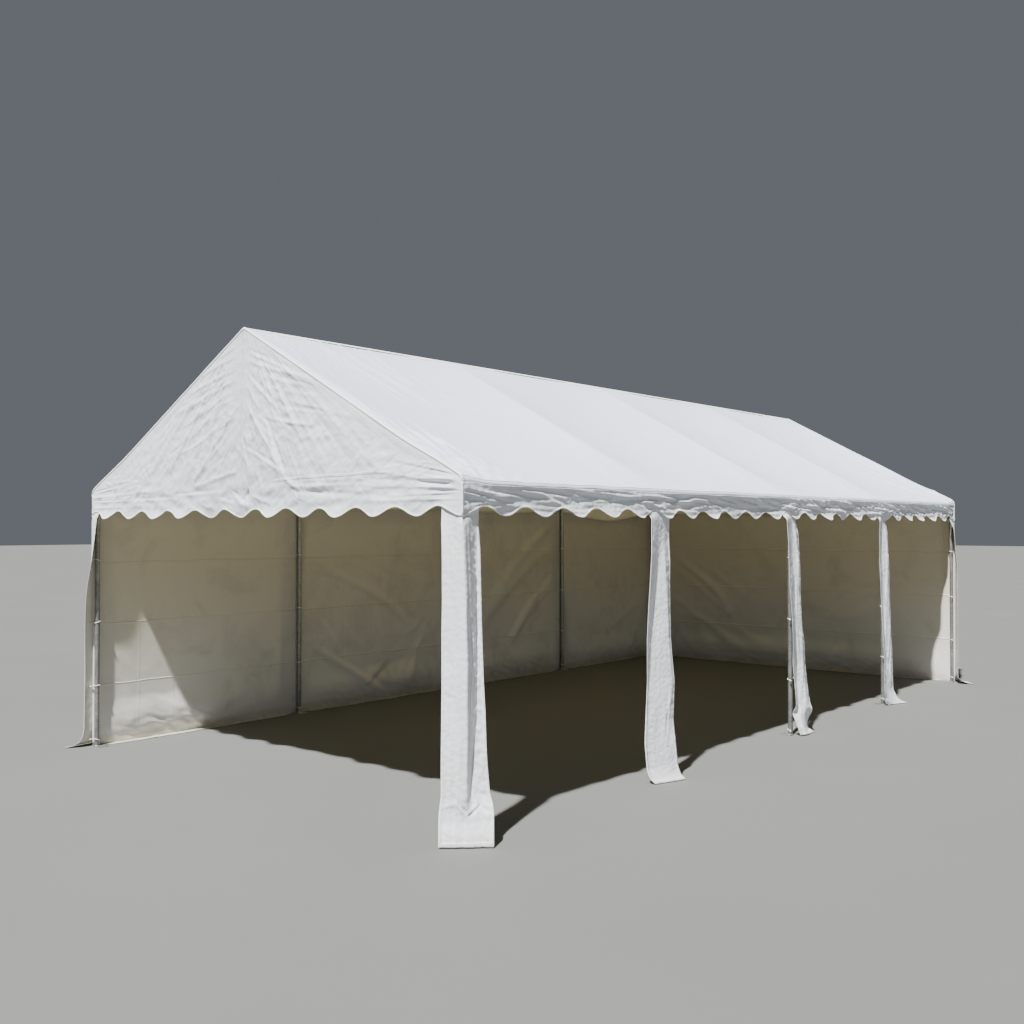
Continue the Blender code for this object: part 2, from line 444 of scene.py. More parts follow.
def add_ring(shape: Shape, centre: Vector, turn: Matrix, radius: float, sides: int,
             ahead: float = 0.0) -> list[bmesh.types.BMVert]:
    """Add a ring of corners.

    Args:
        shape: The mesh that it goes into.
        centre: A place on the ring's axis.
        turn: Turns the z axis to the ring's axis.
        radius: The ring's radius.
        sides: How many corners it has.
        ahead: How far along its axis it lies from the centre.

    Returns:
        The corners.
    """
    corners = []
    for index in range(sides):
        angle = 2.0 * math.pi * index / sides
        corner = Vector((radius * math.cos(angle), radius * math.sin(angle), ahead))
        corners.append(shape.verts.new(centre + turn @ corner))
    return corners


def add_skin(shape: Shape, rings: Sequence[Sequence[bmesh.types.BMVert]]) -> None:
    """Join rings of corners into a closed body, with a face at each end.

    Args:
        shape: The mesh that it goes into.
        rings: The rings in their order, each with as many corners.
    """
    for lower, upper in zip(rings, rings[1:]):
        for index in range(len(lower)):
            after = (index + 1) % len(lower)
            shape.faces.new((lower[index], lower[after], upper[after], upper[index]))
    shape.faces.new(rings[0][::-1])
    shape.faces.new(rings[-1])


@dataclass(frozen=True)
class ClothFaces:
    """The finishes of a cloth's outer and inner face."""

    outer: bpy.types.Material
    inner: bpy.types.Material


def cloth_object(name: str, points: Array, faces: ClothFaces, outward: Vector,
                 thickness: float = CLOTH_THICKNESS, kept: Array | None = None) -> Piece:
    """Make a cloth of a grid of points.

    Args:
        name: The piece's name.
        points: Places as an array of rows, columns and x, y, z.
        faces: The cloth's finishes.
        outward: The side that the cloth's outer face looks to.
        thickness: How thick it is drawn, inwards from the points.
        kept: Which cells of the grid are cloth, or None for all.

    Returns:
        The object, with a Solidify modifier.
    """
    rows, columns = points.shape[:2]
    index = np.arange(rows * columns).reshape(rows, columns)
    cells = np.stack([index[:-1, :-1], index[:-1, 1:], index[1:, 1:], index[1:, :-1]], axis=-1)
    cells = cells.reshape(-1, 4) if kept is None else cells[kept]
    flat = points.reshape(-1, 3)
    across, down = flat[cells[:, 1]] - flat[cells[:, 0]], flat[cells[:, 3]] - flat[cells[:, 0]]
    facing = np.cross(across, down).sum(axis=0)
    if facing @ np.array(outward) < 0.0:
        cells = cells[:, ::-1]
    used, renumbered = np.unique(cells, return_inverse=True)
    mesh = bpy.data.meshes.new(name)
    mesh.from_pydata(flat[used].tolist(), [], renumbered.reshape(-1, 4).tolist())
    mesh.shade_smooth()
    mesh.materials.append(faces.outer)
    mesh.materials.append(faces.inner)
    item = link_object(name, mesh)
    solid = item.modifiers.new("cloth thickness", "SOLIDIFY")
    solid.thickness = thickness
    solid.offset = -1.0
    solid.material_offset = 1
    return item


def settle(item: Piece, nodes: Sequence[str] = ()) -> Piece:
    """Fix a piece to the tent's body.

    Args:
        item: The piece.
        nodes: The CAD nodes that it stands for.

    Returns:
        The piece.
    """
    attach(item, BODY)
    if nodes:
        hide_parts(*nodes)
    LOG.info("%s: %d faces before its modifiers", item.name, len(item.data.polygons))
    return item


def edge_binding(name: str, place: Place, edge: ScallopEdge, along: Array, outward: Vector,
                 faces: ClothFaces) -> Piece:
    """Make the white tape that binds a scalloped edge.

    Args:
        name: The piece's name.
        place: Gives the valance's places from distances along it and heights.
        edge: The scalloped edge.
        along: Distances along the edge.
        outward: The side that the valance's outer face looks to.
        faces: The tape's finishes.

    Returns:
        The tape, thicker than the cloth that it wraps.
    """
    width, lap, proud, rows = 0.010, 0.0012, 0.0009, 4
    low = edge.height(along)
    rise = width * np.hypot(1.0, np.gradient(low, along))
    steps = np.linspace(1.0, 0.0, rows)[:, None]
    heights = low[None, :] - lap + (rise[None, :] + lap) * steps
    points = place(np.repeat(along[None, :], rows, axis=0), heights)
    points = points + np.array(outward)[None, None, :] * proud
    return cloth_object(name, points, faces, outward, WELD_THICKNESS)


def hex_colour(code: str) -> tuple[float, float, float, float]:
    """Turn an sRGB hex value into a linear colour."""
    channels = [int(code[place:place + 2], 16) / 255.0 for place in (1, 3, 5)]
    linear = [c / 12.92 if c <= 0.04045 else ((c + 0.055) / 1.055) ** 2.4 for c in channels]
    return (*linear, 1.0)


def add_node(tree: bpy.types.NodeTree, kind: str, settings: dict | None = None,
             links: dict | None = None) -> bpy.types.Node:
    """Add a node with its settings and links.

    Args:
        tree: The material's node tree.
        kind: The node's type name, without ShaderNode.
        settings: Values by attribute name, or by socket name or number.
        links: Output sockets by the name or number of the input that they go to.

    Returns:
        The node.
    """
    node = tree.nodes.new("ShaderNode" + kind)
    for key, value in (settings or {}).items():
        if isinstance(key, str) and hasattr(node, key):
            setattr(node, key, value)
        else:
            node.inputs[key].default_value = value
    for key, source in (links or {}).items():
        tree.links.new(source, node.inputs[key])
    return node


class Shading:
    """A material as it is made: its tree, and the few kinds of node that the finishes need."""

    def __init__(self, name: str) -> None:
        """Start a material of that name."""
        self.material = bpy.data.materials.new(name)
        self.material.use_nodes = True
        self.tree = self.material.node_tree
        self.place = add_node(self.tree, "TexCoord").outputs["Object"]

    def noise(self, scale: float, detail: float, roughness: float = 0.5, distortion: float = 0.0,
              place: Socket | None = None) -> Socket:
        """Add cloudy noise, scale waves to a metre, and give its value."""
        settings = {"Scale": scale, "Detail": detail, "Roughness": roughness, "Distortion": distortion}
        return add_node(self.tree, "TexNoise", settings, {"Vector": place or self.place}).outputs[0]

    def cells(self, size_mm: float, output: str = "Distance", place: Socket | None = None,
              **settings: float | str) -> Socket:
        """Add a pattern of cells of about that size, and give one of its outputs."""
        settings["Scale"] = 1000.0 / size_mm
        return add_node(self.tree, "TexVoronoi", settings, {"Vector": place or self.place}).outputs[output]

    def reckon(self, operation: str, *terms: Socket | float | Sequence[float], kind: str = "Math") -> Socket:
        """Work out a value from others.

        Args:
            operation: What the node does.
            terms: Sockets and numbers, in the order of its inputs.
            kind: Math, or VectorMath for vectors.

        Returns:
            The result.
        """
        sockets = {place: term for place, term in enumerate(terms) if isinstance(term, Socket)}
        numbers = {place: term for place, term in enumerate(terms) if place not in sockets}
        return add_node(self.tree, kind, {"operation": operation, **numbers}, sockets).outputs[0]

    def blend(self, share: Socket, first: Socket | str, second: str) -> Socket:
        """Mix two colours.

        Args:
            share: How much there is of the second one.
            first: A hex value, or a colour mixed before.
            second: A hex value.

        Returns:
            The mixed colour.
        """
        settings = {"data_type": "RGBA", 7: hex_colour(second)}
        if isinstance(first, str):
            return add_node(self.tree, "Mix", {**settings, 6: hex_colour(first)}, {0: share}).outputs[2]
        return add_node(self.tree, "Mix", settings, {0: share, 6: first}).outputs[2]

    def remap(self, value: Socket, source: Pair, target: Pair, soft: bool = False) -> Socket:
        """Map one range of values to another, clamped at its ends.

        Args:
            value: The values.
            source: Where their range begins and ends.
            target: Where the new one does.
            soft: Whether the change is eased at both ends.

        Returns:
            The new values.
        """
        settings = {"interpolation_type": "SMOOTHSTEP" if soft else "LINEAR", "From Min": source[0],
                    "From Max": source[1], "To Min": target[0], "To Max": target[1]}
        return add_node(self.tree, "MapRange", settings, {"Value": value}).outputs[0]

    def bump(self, height: Socket, depth: float, under: Socket | None = None,
             strength: float = 1.0) -> Socket:
        """Add small relief of a depth in metres over the relief under it, and give its normals."""
        links = {"Height": height} if under is None else {"Height": height, "Normal": under}
        return add_node(self.tree, "Bump", {"Strength": strength, "Distance": depth}, links).outputs[0]

    def finish(self, inputs: dict[str, Socket | float | Sequence[float]]) -> bpy.types.Material:
        """Link or set the Principled shader's inputs.

        Args:
            inputs: Sockets and plain values, by the input's name.

        Returns:
            The material.
        """
        shader = self.tree.nodes["Principled BSDF"]
        for name, value in inputs.items():
            if isinstance(value, Socket):
                self.tree.links.new(value, shader.inputs[name])
            else:
                shader.inputs[name].default_value = value
        return self.material


@dataclass(frozen=True)
class CoatedCloth:
    """Polyester scrim coated with soft PVC on both faces, calendered and welded.

    To the eye it is a smooth, slightly glossy white skin, crumpled by folding for storage, with dust in
    its hollows and earth on its foot. Sizes are in millimetres. stretch narrows the small ripples along
    x, y and z. crease_grid is the spacing of the creases left by storage, along the wall and up. The tone
    that an inner face is given towards the roof is painted light, for the light come through the coating.
    """

    name: str
    colour: str = "#F5F6F8"
    shade: str = "#E6E8EC"
    painted_light_tone: str | None = None
    dust: str = "#A9A493"
    earth: str = "#857C5E"
    crumple_mm: float = 60.0
    crumple_depth_mm: float = 2.0
    ripple_mm: float = 20.0
    ripple_depth_mm: float = 0.6
    stretch: tuple[float, float, float] = (1.0, 1.0, 1.0)
    fan_depth_mm: float = 0.0
    fan_height: float = 3.11
    crease_grid: Pair | None = None
    crease_depth_mm: float = 1.2
    weave_mm: float = 4.0
    roughness: float = 0.44
    glow: float = 0.12
    earth_height: float = 0.09
    dusting: float = 0.25

    def build(self) -> bpy.types.Material:
        """Make the material."""
        shading = Shading(self.name)
        axes = add_node(shading.tree, "SeparateXYZ", {}, {0: shading.place}).outputs
        stain = shading.noise(18.0, 5.0, 0.7)
        gloss = shading.remap(stain, (0.0, 1.0), (self.roughness - 0.06, self.roughness + 0.1))
        return shading.finish({
            "Base Color": self.tone(shading, axes["Z"], stain), "Roughness": gloss,
            "Normal": self.relief(shading, axes), "IOR": 1.52, "Subsurface Weight": self.glow,
            "Subsurface Radius": (1.0, 0.85, 0.6), "Subsurface Scale": 6.0 * MM,
        })

    def tone(self, shading: Shading, height: Socket, stain: Socket) -> Socket:
        """Mix the cloth's tones, the painted light of an inner face, its dust and the earth on its foot.

        Args:
            shading: The material as it is made.
            height: The height over the ground.
            stain: How strong the stains are, place by place.

        Returns:
            The colour.
        """
        tone = shading.blend(shading.noise(0.9, 5.0, 0.6), self.colour, self.shade)
        # Painted light: a khaki tone mixed in with height, for the light that has come through the roof's
        # coating
        if self.painted_light_tone:
            tone = shading.blend(shading.remap(height, (0.25, 1.35), (0.0, 1.0)), tone, self.painted_light_tone)
        dust = shading.remap(shading.noise(2.3, 7.0, 0.68, 0.6), (0.50, 0.78), (0.0, self.dusting))
        tone = shading.blend(dust, tone, self.dust)
        # Earth and grass stain the lowest few centimetres, unevenly
        low = shading.remap(height, (0.0, self.earth_height), (0.85, 0.0))
        return shading.blend(shading.reckon("MULTIPLY", low, stain), tone, self.earth)

    def relief(self, shading: Shading, axes: Sequence[Socket]) -> Socket:
        """Add the small relief: crumples, ripples, the creases of its cut and storage, and the scrim.

        Args:
            shading: The material as it is made.
            axes: The place's x, y and z.

        Returns:
            The normals.
        """
        # Soft facets between creases: smooth cells bent by noise
        warp = shading.noise(5.0, 3.0)
        bent = shading.reckon("MULTIPLY_ADD", warp.node.outputs["Color"], (0.12, 0.12, 0.12), shading.place,
                              kind="VectorMath")
        facets = shading.cells(self.crumple_mm, place=bent, feature="F1")
        bump = shading.bump(facets, self.crumple_depth_mm * MM)
        stretched = shading.reckon("MULTIPLY", shading.place, self.stretch, kind="VectorMath")
        bump = shading.bump(shading.noise(1000.0 / self.ripple_mm, 3.0, place=stretched),
                            self.ripple_depth_mm * MM, bump)
        if self.fan_depth_mm:
            # Fine streaks that spread from the apex, where the cloth is pulled tight
            down = shading.reckon("SUBTRACT", self.fan_height, axes["Z"])
            angle = shading.reckon("ARCTAN2", axes["X"], down)
            reach = shading.reckon("MULTIPLY", down, 0.035)
            polar = add_node(shading.tree, "CombineXYZ", {}, {"X": angle, "Y": reach})
            fan = shading.noise(34.0, 2.0, distortion=0.4, place=polar.outputs[0])
            bump = shading.bump(fan, self.fan_depth_mm * MM, bump)
        if self.crease_grid:
            run = shading.reckon("ADD", axes["X"], axes["Y"])
            lines = []
            for along, spacing, share in zip((run, axes["Z"]), self.crease_grid, (0.2, 1.0)):
                wander = shading.reckon("MULTIPLY_ADD", warp, 0.02, along)
                fold = shading.reckon("PINGPONG", wander, spacing / 2.0)
                lines.append(shading.remap(fold, (0.0, 0.009), (share, 0.0), soft=True))
            bump = shading.bump(shading.reckon("MAXIMUM", *lines), self.crease_depth_mm * MM, bump)
        # The scrim's threads, drawn coarser than their real 1 mm so that they show at all
        threads = shading.cells(self.weave_mm, distance="CHEBYCHEV", Randomness=0.0)
        return shading.bump(threads, 0.1 * MM, bump, strength=0.2)


@dataclass(frozen=True)
class GalvanisedTube:
    """Welded steel tube, hot-dip galvanised.

    To the eye it is a dull light grey metal with a mottle of zinc crystals and chalky white patches.
    """

    zinc: str = "#979998"
    dark: str = "#75787A"
    chalk: str = "#B2B3B0"
    spangle_mm: float = 9.0

    def build(self) -> bpy.types.Material:
        """Make the material."""
        shading = Shading("galvanised_steel_tube")
        crystals = shading.cells(self.spangle_mm, "Color")
        grain = add_node(shading.tree, "SeparateColor", {}, {0: crystals}).outputs[0]
        patches = shading.noise(7.0, 6.0, 0.65)
        chalky = shading.remap(patches, (0.50, 0.75), (0.0, 0.7))
        return shading.finish({
            "Base Color": shading.blend(chalky, shading.blend(grain, self.dark, self.zinc), self.chalk),
            "Roughness": shading.remap(patches, (0.0, 1.0), (0.40, 0.62)),
            "Normal": shading.bump(grain, 0.2 * MM, strength=0.4), "Metallic": 0.7,
        })


@dataclass(frozen=True)
class ZincBolt:
    """Steel bolts and nuts with bright zinc plating: small, bluish, sharper in gloss than the tubes."""

    bright: str = "#C3C6C8"
    dull: str = "#8F9396"

    def build(self) -> bpy.types.Material:
        """Make the material."""
        shading = Shading("zinc_plated_bolts")
        wear = shading.noise(90.0, 4.0)
        return shading.finish({"Base Color": shading.blend(wear, self.bright, self.dull),
                               "Roughness": shading.remap(wear, (0.0, 1.0), (0.2, 0.45)), "Metallic": 1.0})


@dataclass(frozen=True)
class ElasticCord:
    """Rubber cord in a braided white polyester sleeve: matt, slightly fluffy, greyed by handling."""

    hollow: str = "#D9D8D2"
    crown: str = "#FAF9F5"
    braid_mm: float = 2.5

    def build(self) -> bpy.types.Material:
        """Make the material."""
        shading = Shading("braided_elastic_cord")
        braid = shading.cells(self.braid_mm)
        return shading.finish({"Base Color": shading.blend(braid, self.hollow, self.crown),
                               "Normal": shading.bump(braid, 0.3 * MM, strength=0.6), "Roughness": 0.85})


@dataclass(frozen=True)
class StudioFloor:
    """Matt pale floor paint: even to the eye, with a faint cloudiness so that it isn't dead flat."""

    colour: str = "#6C6D6C"
    shade: str = "#666766"

    def build(self) -> bpy.types.Material:
        """Make the material."""
        shading = Shading("matt_floor_paint")
        clouds = shading.blend(shading.noise(0.6, 4.0), self.colour, self.shade)
        return shading.finish({"Base Color": clouds, "Roughness": 0.9})


@dataclass(frozen=True)
class Finishes:
    """The materials of the tent, one of each kind."""

    roof: ClothFaces
    gable: ClothFaces
    valance: ClothFaces
    wall: ClothFaces
    leg: ClothFaces
    weld: ClothFaces
    tube: bpy.types.Material
    bolt: bpy.types.Material
    cord: bpy.types.Material

    @classmethod
    def make(cls) -> "Finishes":
        """Make them all.

        The inner faces' cream and khaki tones are painted light: the cloth is white on both faces, and the
        tones stand for the yellowish light that has come through the coating, more of it towards the roof.
        """
        # The cream of these inner faces is painted light, for light come through the coating; the cloth is
        # white
        inner = CoatedCloth("coated_cloth_inner_face", "#DED7C0", "#D3CAB0", crumple_depth_mm=0.6,
                            ripple_depth_mm=0.3, glow=0.9).build()
        # The wall's own colour is near white; its khaki tone towards the top is painted light
        wall_inner = CoatedCloth("coated_wall_inner_face", "#F0EEE6", "#E5E2D7", "#DCD1B6", crumple_mm=160.0,
                                 crumple_depth_mm=1.6, ripple_mm=60.0, ripple_depth_mm=0.8, glow=0.2,
                                 crease_grid=CREASE_GRID, crease_depth_mm=3.6, dusting=0.45).build()
        weld = CoatedCloth("welded_cloth_hem", "#FFFFFF", "#FCFCFB", crumple_mm=20.0, crumple_depth_mm=0.3,
                           dusting=0.05).build()
        # The roof's bluish tint is painted light, for the sky's light on its upper faces
        roof = CoatedCloth("coated_cloth_roof", "#EAF0FF", "#E2EAFD", crumple_mm=300.0, crumple_depth_mm=0.8,
                           ripple_mm=90.0, ripple_depth_mm=0.5, stretch=(0.35, 1.0, 0.35), dusting=0.10)
        gable = CoatedCloth("coated_cloth_gable", "#ECF0F6", "#DDE2E8", fan_depth_mm=4.5, crumple_mm=70.0,
                            crumple_depth_mm=3.6, ripple_depth_mm=1.4)
        valance = CoatedCloth("coated_cloth_valance", "#E9EDF3", "#DBE0E8", crumple_mm=40.0,
                              crumple_depth_mm=3.4, ripple_depth_mm=1.2, stretch=(1.0, 0.35, 1.0))
        wall = CoatedCloth("coated_cloth_wall", "#EFEEE9", "#E2E0D9", crumple_mm=160.0, crumple_depth_mm=1.0,
                           crease_grid=CREASE_GRID)
        leg = CoatedCloth("coated_cloth_leg", "#F3F5F9", "#E2E5EC", crumple_mm=34.0, crumple_depth_mm=2.6,
                          ripple_mm=15.0, ripple_depth_mm=0.9, stretch=(1.0, 1.0, 0.4))
        leg_inner = CoatedCloth("coated_leg_inner_face", "#E9E7DE", "#DDDACE", crumple_mm=50.0)
        return cls(roof=ClothFaces(roof.build(), inner), gable=ClothFaces(gable.build(), inner),
                   valance=ClothFaces(valance.build(), inner), wall=ClothFaces(wall.build(), wall_inner),
                   leg=ClothFaces(leg.build(), leg_inner.build()), weld=ClothFaces(weld, weld),
                   tube=GalvanisedTube().build(), bolt=ZincBolt().build(), cord=ElasticCord().build())


@dataclass(frozen=True)
class RoofCover:
    """The roof: one cloth over the ridge, sagging between the rafters, turned down at the eaves.

    flat_share is the share of its width from the middle to where it turns down.
    """

    sizes: TentSizes
    sag: float = 0.125
    rows: int = 300
    columns: int = 115
    flat_share: float = 0.87
    fold_gain: float = 2.4

    def folds(self) -> list[Fold]:
        """List the tension folds of a slope, as places along the tent and up from the eave."""
        near = -self.sizes.half_length
        folds = fold_rows(
            (0.02, 0.02, 0.05, 2.2, 0.005, 0.013),
            (0.04, 0.00, 0.12, 1.7, 0.006, 0.014, LAP),
            (0.06, 0.0, 0.26, 1.3, -0.006, 0.016),
            (0.09, 0.0, 0.40, 1.1, 0.006, 0.015, LAP),
            (0.14, 0.0, 0.52, 0.8, 0.008, 0.015),
            (0.22, 0.0, 0.62, 0.60, 0.007, 0.013, LAP),
            (0.34, 0.0, 0.70, 0.42, 0.006, 0.013, LAP),
            (0.46, 0.0, 0.86, 0.34, 0.005, 0.013),
            (0.62, 2.25, 0.95, 1.55, 0.006, 0.013),
            (0.70, 2.25, 1.05, 1.45, 0.007, 0.013, LAP),
            (0.80, 2.25, 1.2, 1.6, 0.006, 0.013),
            (0.95, 2.25, 1.3, 1.75, 0.005, 0.013, LAP),
            (0.10, 2.25, 0.45, 1.75, 0.006, 0.013, LAP),
            (0.20, 2.25, 0.60, 1.85, 0.005, 0.013), shift=near)
        fields = [
            FoldField(301, 22, ((near + 0.02, near + 0.45), (0.0, 0.30)), ((0.03, 0.35), (0.20, 0.95)),
                      (0.002, 0.006), (0.009, 0.015)),
            FoldField(302, 14, ((near + 0.40, near + 1.20), (2.15, 2.25)), ((0.10, 0.45), (-0.90, -0.35)),
                      (0.002, 0.005), (0.009, 0.015)),
            FoldField(303, 16, ((near + 0.02, near + 0.20), (0.3, 1.9)), ((0.05, 0.30), (0.10, 0.50)),
                      (0.002, 0.004), (0.009, 0.014)),
        ]
        folds += [fold for field in fields for fold in field.folds()]
        # The far end repeats this many of them, the other way round
        repeated = 30
        mirrored = [replace(fold, start=(-fold.start[0], fold.start[1]), end=(-fold.end[0], fold.end[1]))
                    for fold in folds[:repeated]]
        fans = ((-0.20, 0.5), (-0.12, 0.8), (-0.05, 1.1), (0.06, 1.0), (0.13, 0.8), (0.22, 0.5))
        for y in self.sizes.frame_ys[1:-1]:
            folds += [Fold((y + shift * 1.7, 0.0), (y + shift, reach), 0.004, 0.018) for shift, reach in fans]
        return folds + mirrored

    def points(self) -> Array:
        """Give the roof's places, from the left eave over the ridge to the right eave."""
        u, v = grid(self.rows, self.columns)
        # The rows stand closer near the front, where the tension folds are fine
        shares = np.interp(v, (0.0, 0.38, 0.95, 1.0), (-1.0, -0.72, 0.88, 1.0))
        return self.place(u, self.sizes.half_length * shares)

    def place(self, u: Array, y: Array) -> Array:
        """Give places of the cover.

        Args:
            u: Shares of its width, from 0 at the left eave to 1 at the right one.
            y: Places along the tent.

        Returns:
            The places, with sag, bags and folds.
        """
        sizes = self.sizes
        side, reach = np.sign(2.0 * u - 1.0), np.abs(2.0 * u - 1.0)
        radius, middle, level = sizes.eave_turn(y)
        turned = np.clip((reach - self.flat_share) / (1.0 - self.flat_share), 0.0, 1.0)
        angle = sizes.pitch + turned * (math.pi / 2.0 - sizes.pitch)
        tangent = middle + radius * math.sin(sizes.pitch)
        flat = reach <= self.flat_share
        across = np.where(flat, tangent * reach / self.flat_share, middle + radius * np.sin(angle))
        height = np.where(flat, sizes.cover_height(across, y),
                          level + radius * np.cos(angle) + sizes.corner_lift(across, y))
        up_slope = (1.0 - across / sizes.half_width) * sizes.slope_length
        share = sizes.bay_share(y)
        span = np.sin(math.pi * np.clip(1.0 - across / tangent, 0.0, 1.0)) ** 0.6
        drop = self.sag * 4.0 * share * (1.0 - share) * span
        # The left slope has the folds in another order, so that the two don't match
        along = np.where(side < 0.0, -y * 0.97 + 0.05, y)
        wrinkles = self.fold_gain * total_relief(self.folds(), along, up_slope)
        wrinkles += 0.0022 * Ripple(11, (0.30, 1.1)).at(y, up_slope + side * across) * span
        wrinkles += 0.0012 * Ripple(12, (0.10, 0.6)).at(y, up_slope + 2.0 * side * across) * span
        near_end = bell(sizes.from_end(y), 0.35)
        wrinkles += 0.0028 * near_end * Ripple(13, (0.045, 0.8)).at(y, up_slope) * span
        # Eaves, ridge and rakes are held
        from_ridge = 1.0 - across / sizes.half_width
        calm = smooth_step(0.0, 0.03, up_slope) * (1.0 - smooth_step(0.985, 1.0, from_ridge))
        calm = calm * smooth_step(0.0, 0.012, sizes.from_end(y))
        # Along the eave the turn is uneven: the cloth bags and pulls between the posts
        bags = bell(up_slope, 0.05) * np.sin(math.pi * share)
        z = height - drop + wrinkles * calm + 0.005 * bags * Ripple(14, (0.16, 0.5)).at(y, side)
        return np.stack([side * across, y, z], axis=-1)

    def build(self, finishes: Finishes) -> None:
        """Build the roof with its rake hems and welds.

        Args:
            finishes: The tent's materials.
        """
        item = cloth_object("roof_cover", self.points(), finishes.roof, Vector((0.0, 0.0, 1.0)))
        settle(item, ["roof_slope_left", "roof_slope_right"])
        hems = [self.rake_hem(end, finishes) for end in End]
        welds = [self.weld("ridge_weld", (0.4935, 0.5065), Vector((0.0, 0.0, 1.0)), finishes),
                 self.weld("eave_weld_left", (0.062, 0.040), Vector((-0.5, 0.0, 1.0)), finishes),
                 self.weld("eave_weld_right", (0.938, 0.960), Vector((0.5, 0.0, 1.0)), finishes)]

    def weld(self, name: str, shares: Pair, outward: Vector, finishes: Finishes) -> Piece:
        """Make a white weld along the roof.

        Args:
            name: The piece's name.
            shares: Its two edges, as shares of the cover's width.
            outward: The side that it faces.
            finishes: The tent's materials.

        Returns:
            The weld, a little proud of the cover.
        """
        u, v = grid(521, 5)
        y = (self.sizes.half_length - 0.004) * (2.0 * v - 1.0)
        points = self.place(shares[0] + (shares[1] - shares[0]) * u, y)
        points = points + np.array(outward.normalized()) * (0.0006 + 0.0016 * np.sin(math.pi * u))[..., None]
        return settle(cloth_object(name, points, finishes.weld, outward, WELD_THICKNESS))

    def rake_hem(self, end: End, finishes: Finishes) -> Piece:
        """Make the welded hem where the roof meets a gable: a bright rolled edge down both rakes.

        Args:
            end: The gable.
            finishes: The tent's materials.

        Returns:
            The hem.
        """
        sizes = self.sizes
        x = sizes.half_width * np.sin(np.linspace(-math.pi / 2.0, math.pi / 2.0, 261))
        # The rolled edge's section: how far out from the gable, and up from the cover
        section = [(-0.020, 0.0006), (-0.013, 0.0034), (-0.004, 0.0046), (0.0030, 0.0030), (0.0060, -0.0016),
                   (0.0056, -0.0070), (0.0036, -0.0110), (0.0012, -0.0140)]
        wobble = 0.0009 * Ripple(15, (0.16, 1.0)).line(x)
        wobble += 0.0005 * Ripple(16, (0.035, 1.0)).line(x)
        top = sizes.cover_height(x, np.full_like(x, end.value * sizes.half_length))
        rows = [np.stack([x, end.value * (sizes.half_length + out + wobble), top + up + wobble], axis=-1)
                for out, up in section]
        outward = Vector((0.0, end.value, 1.0))
        hem = cloth_object(f"rake_hem_{end.name.lower()}", np.stack(rows), finishes.weld, outward, 0.0015)
        return settle(hem)


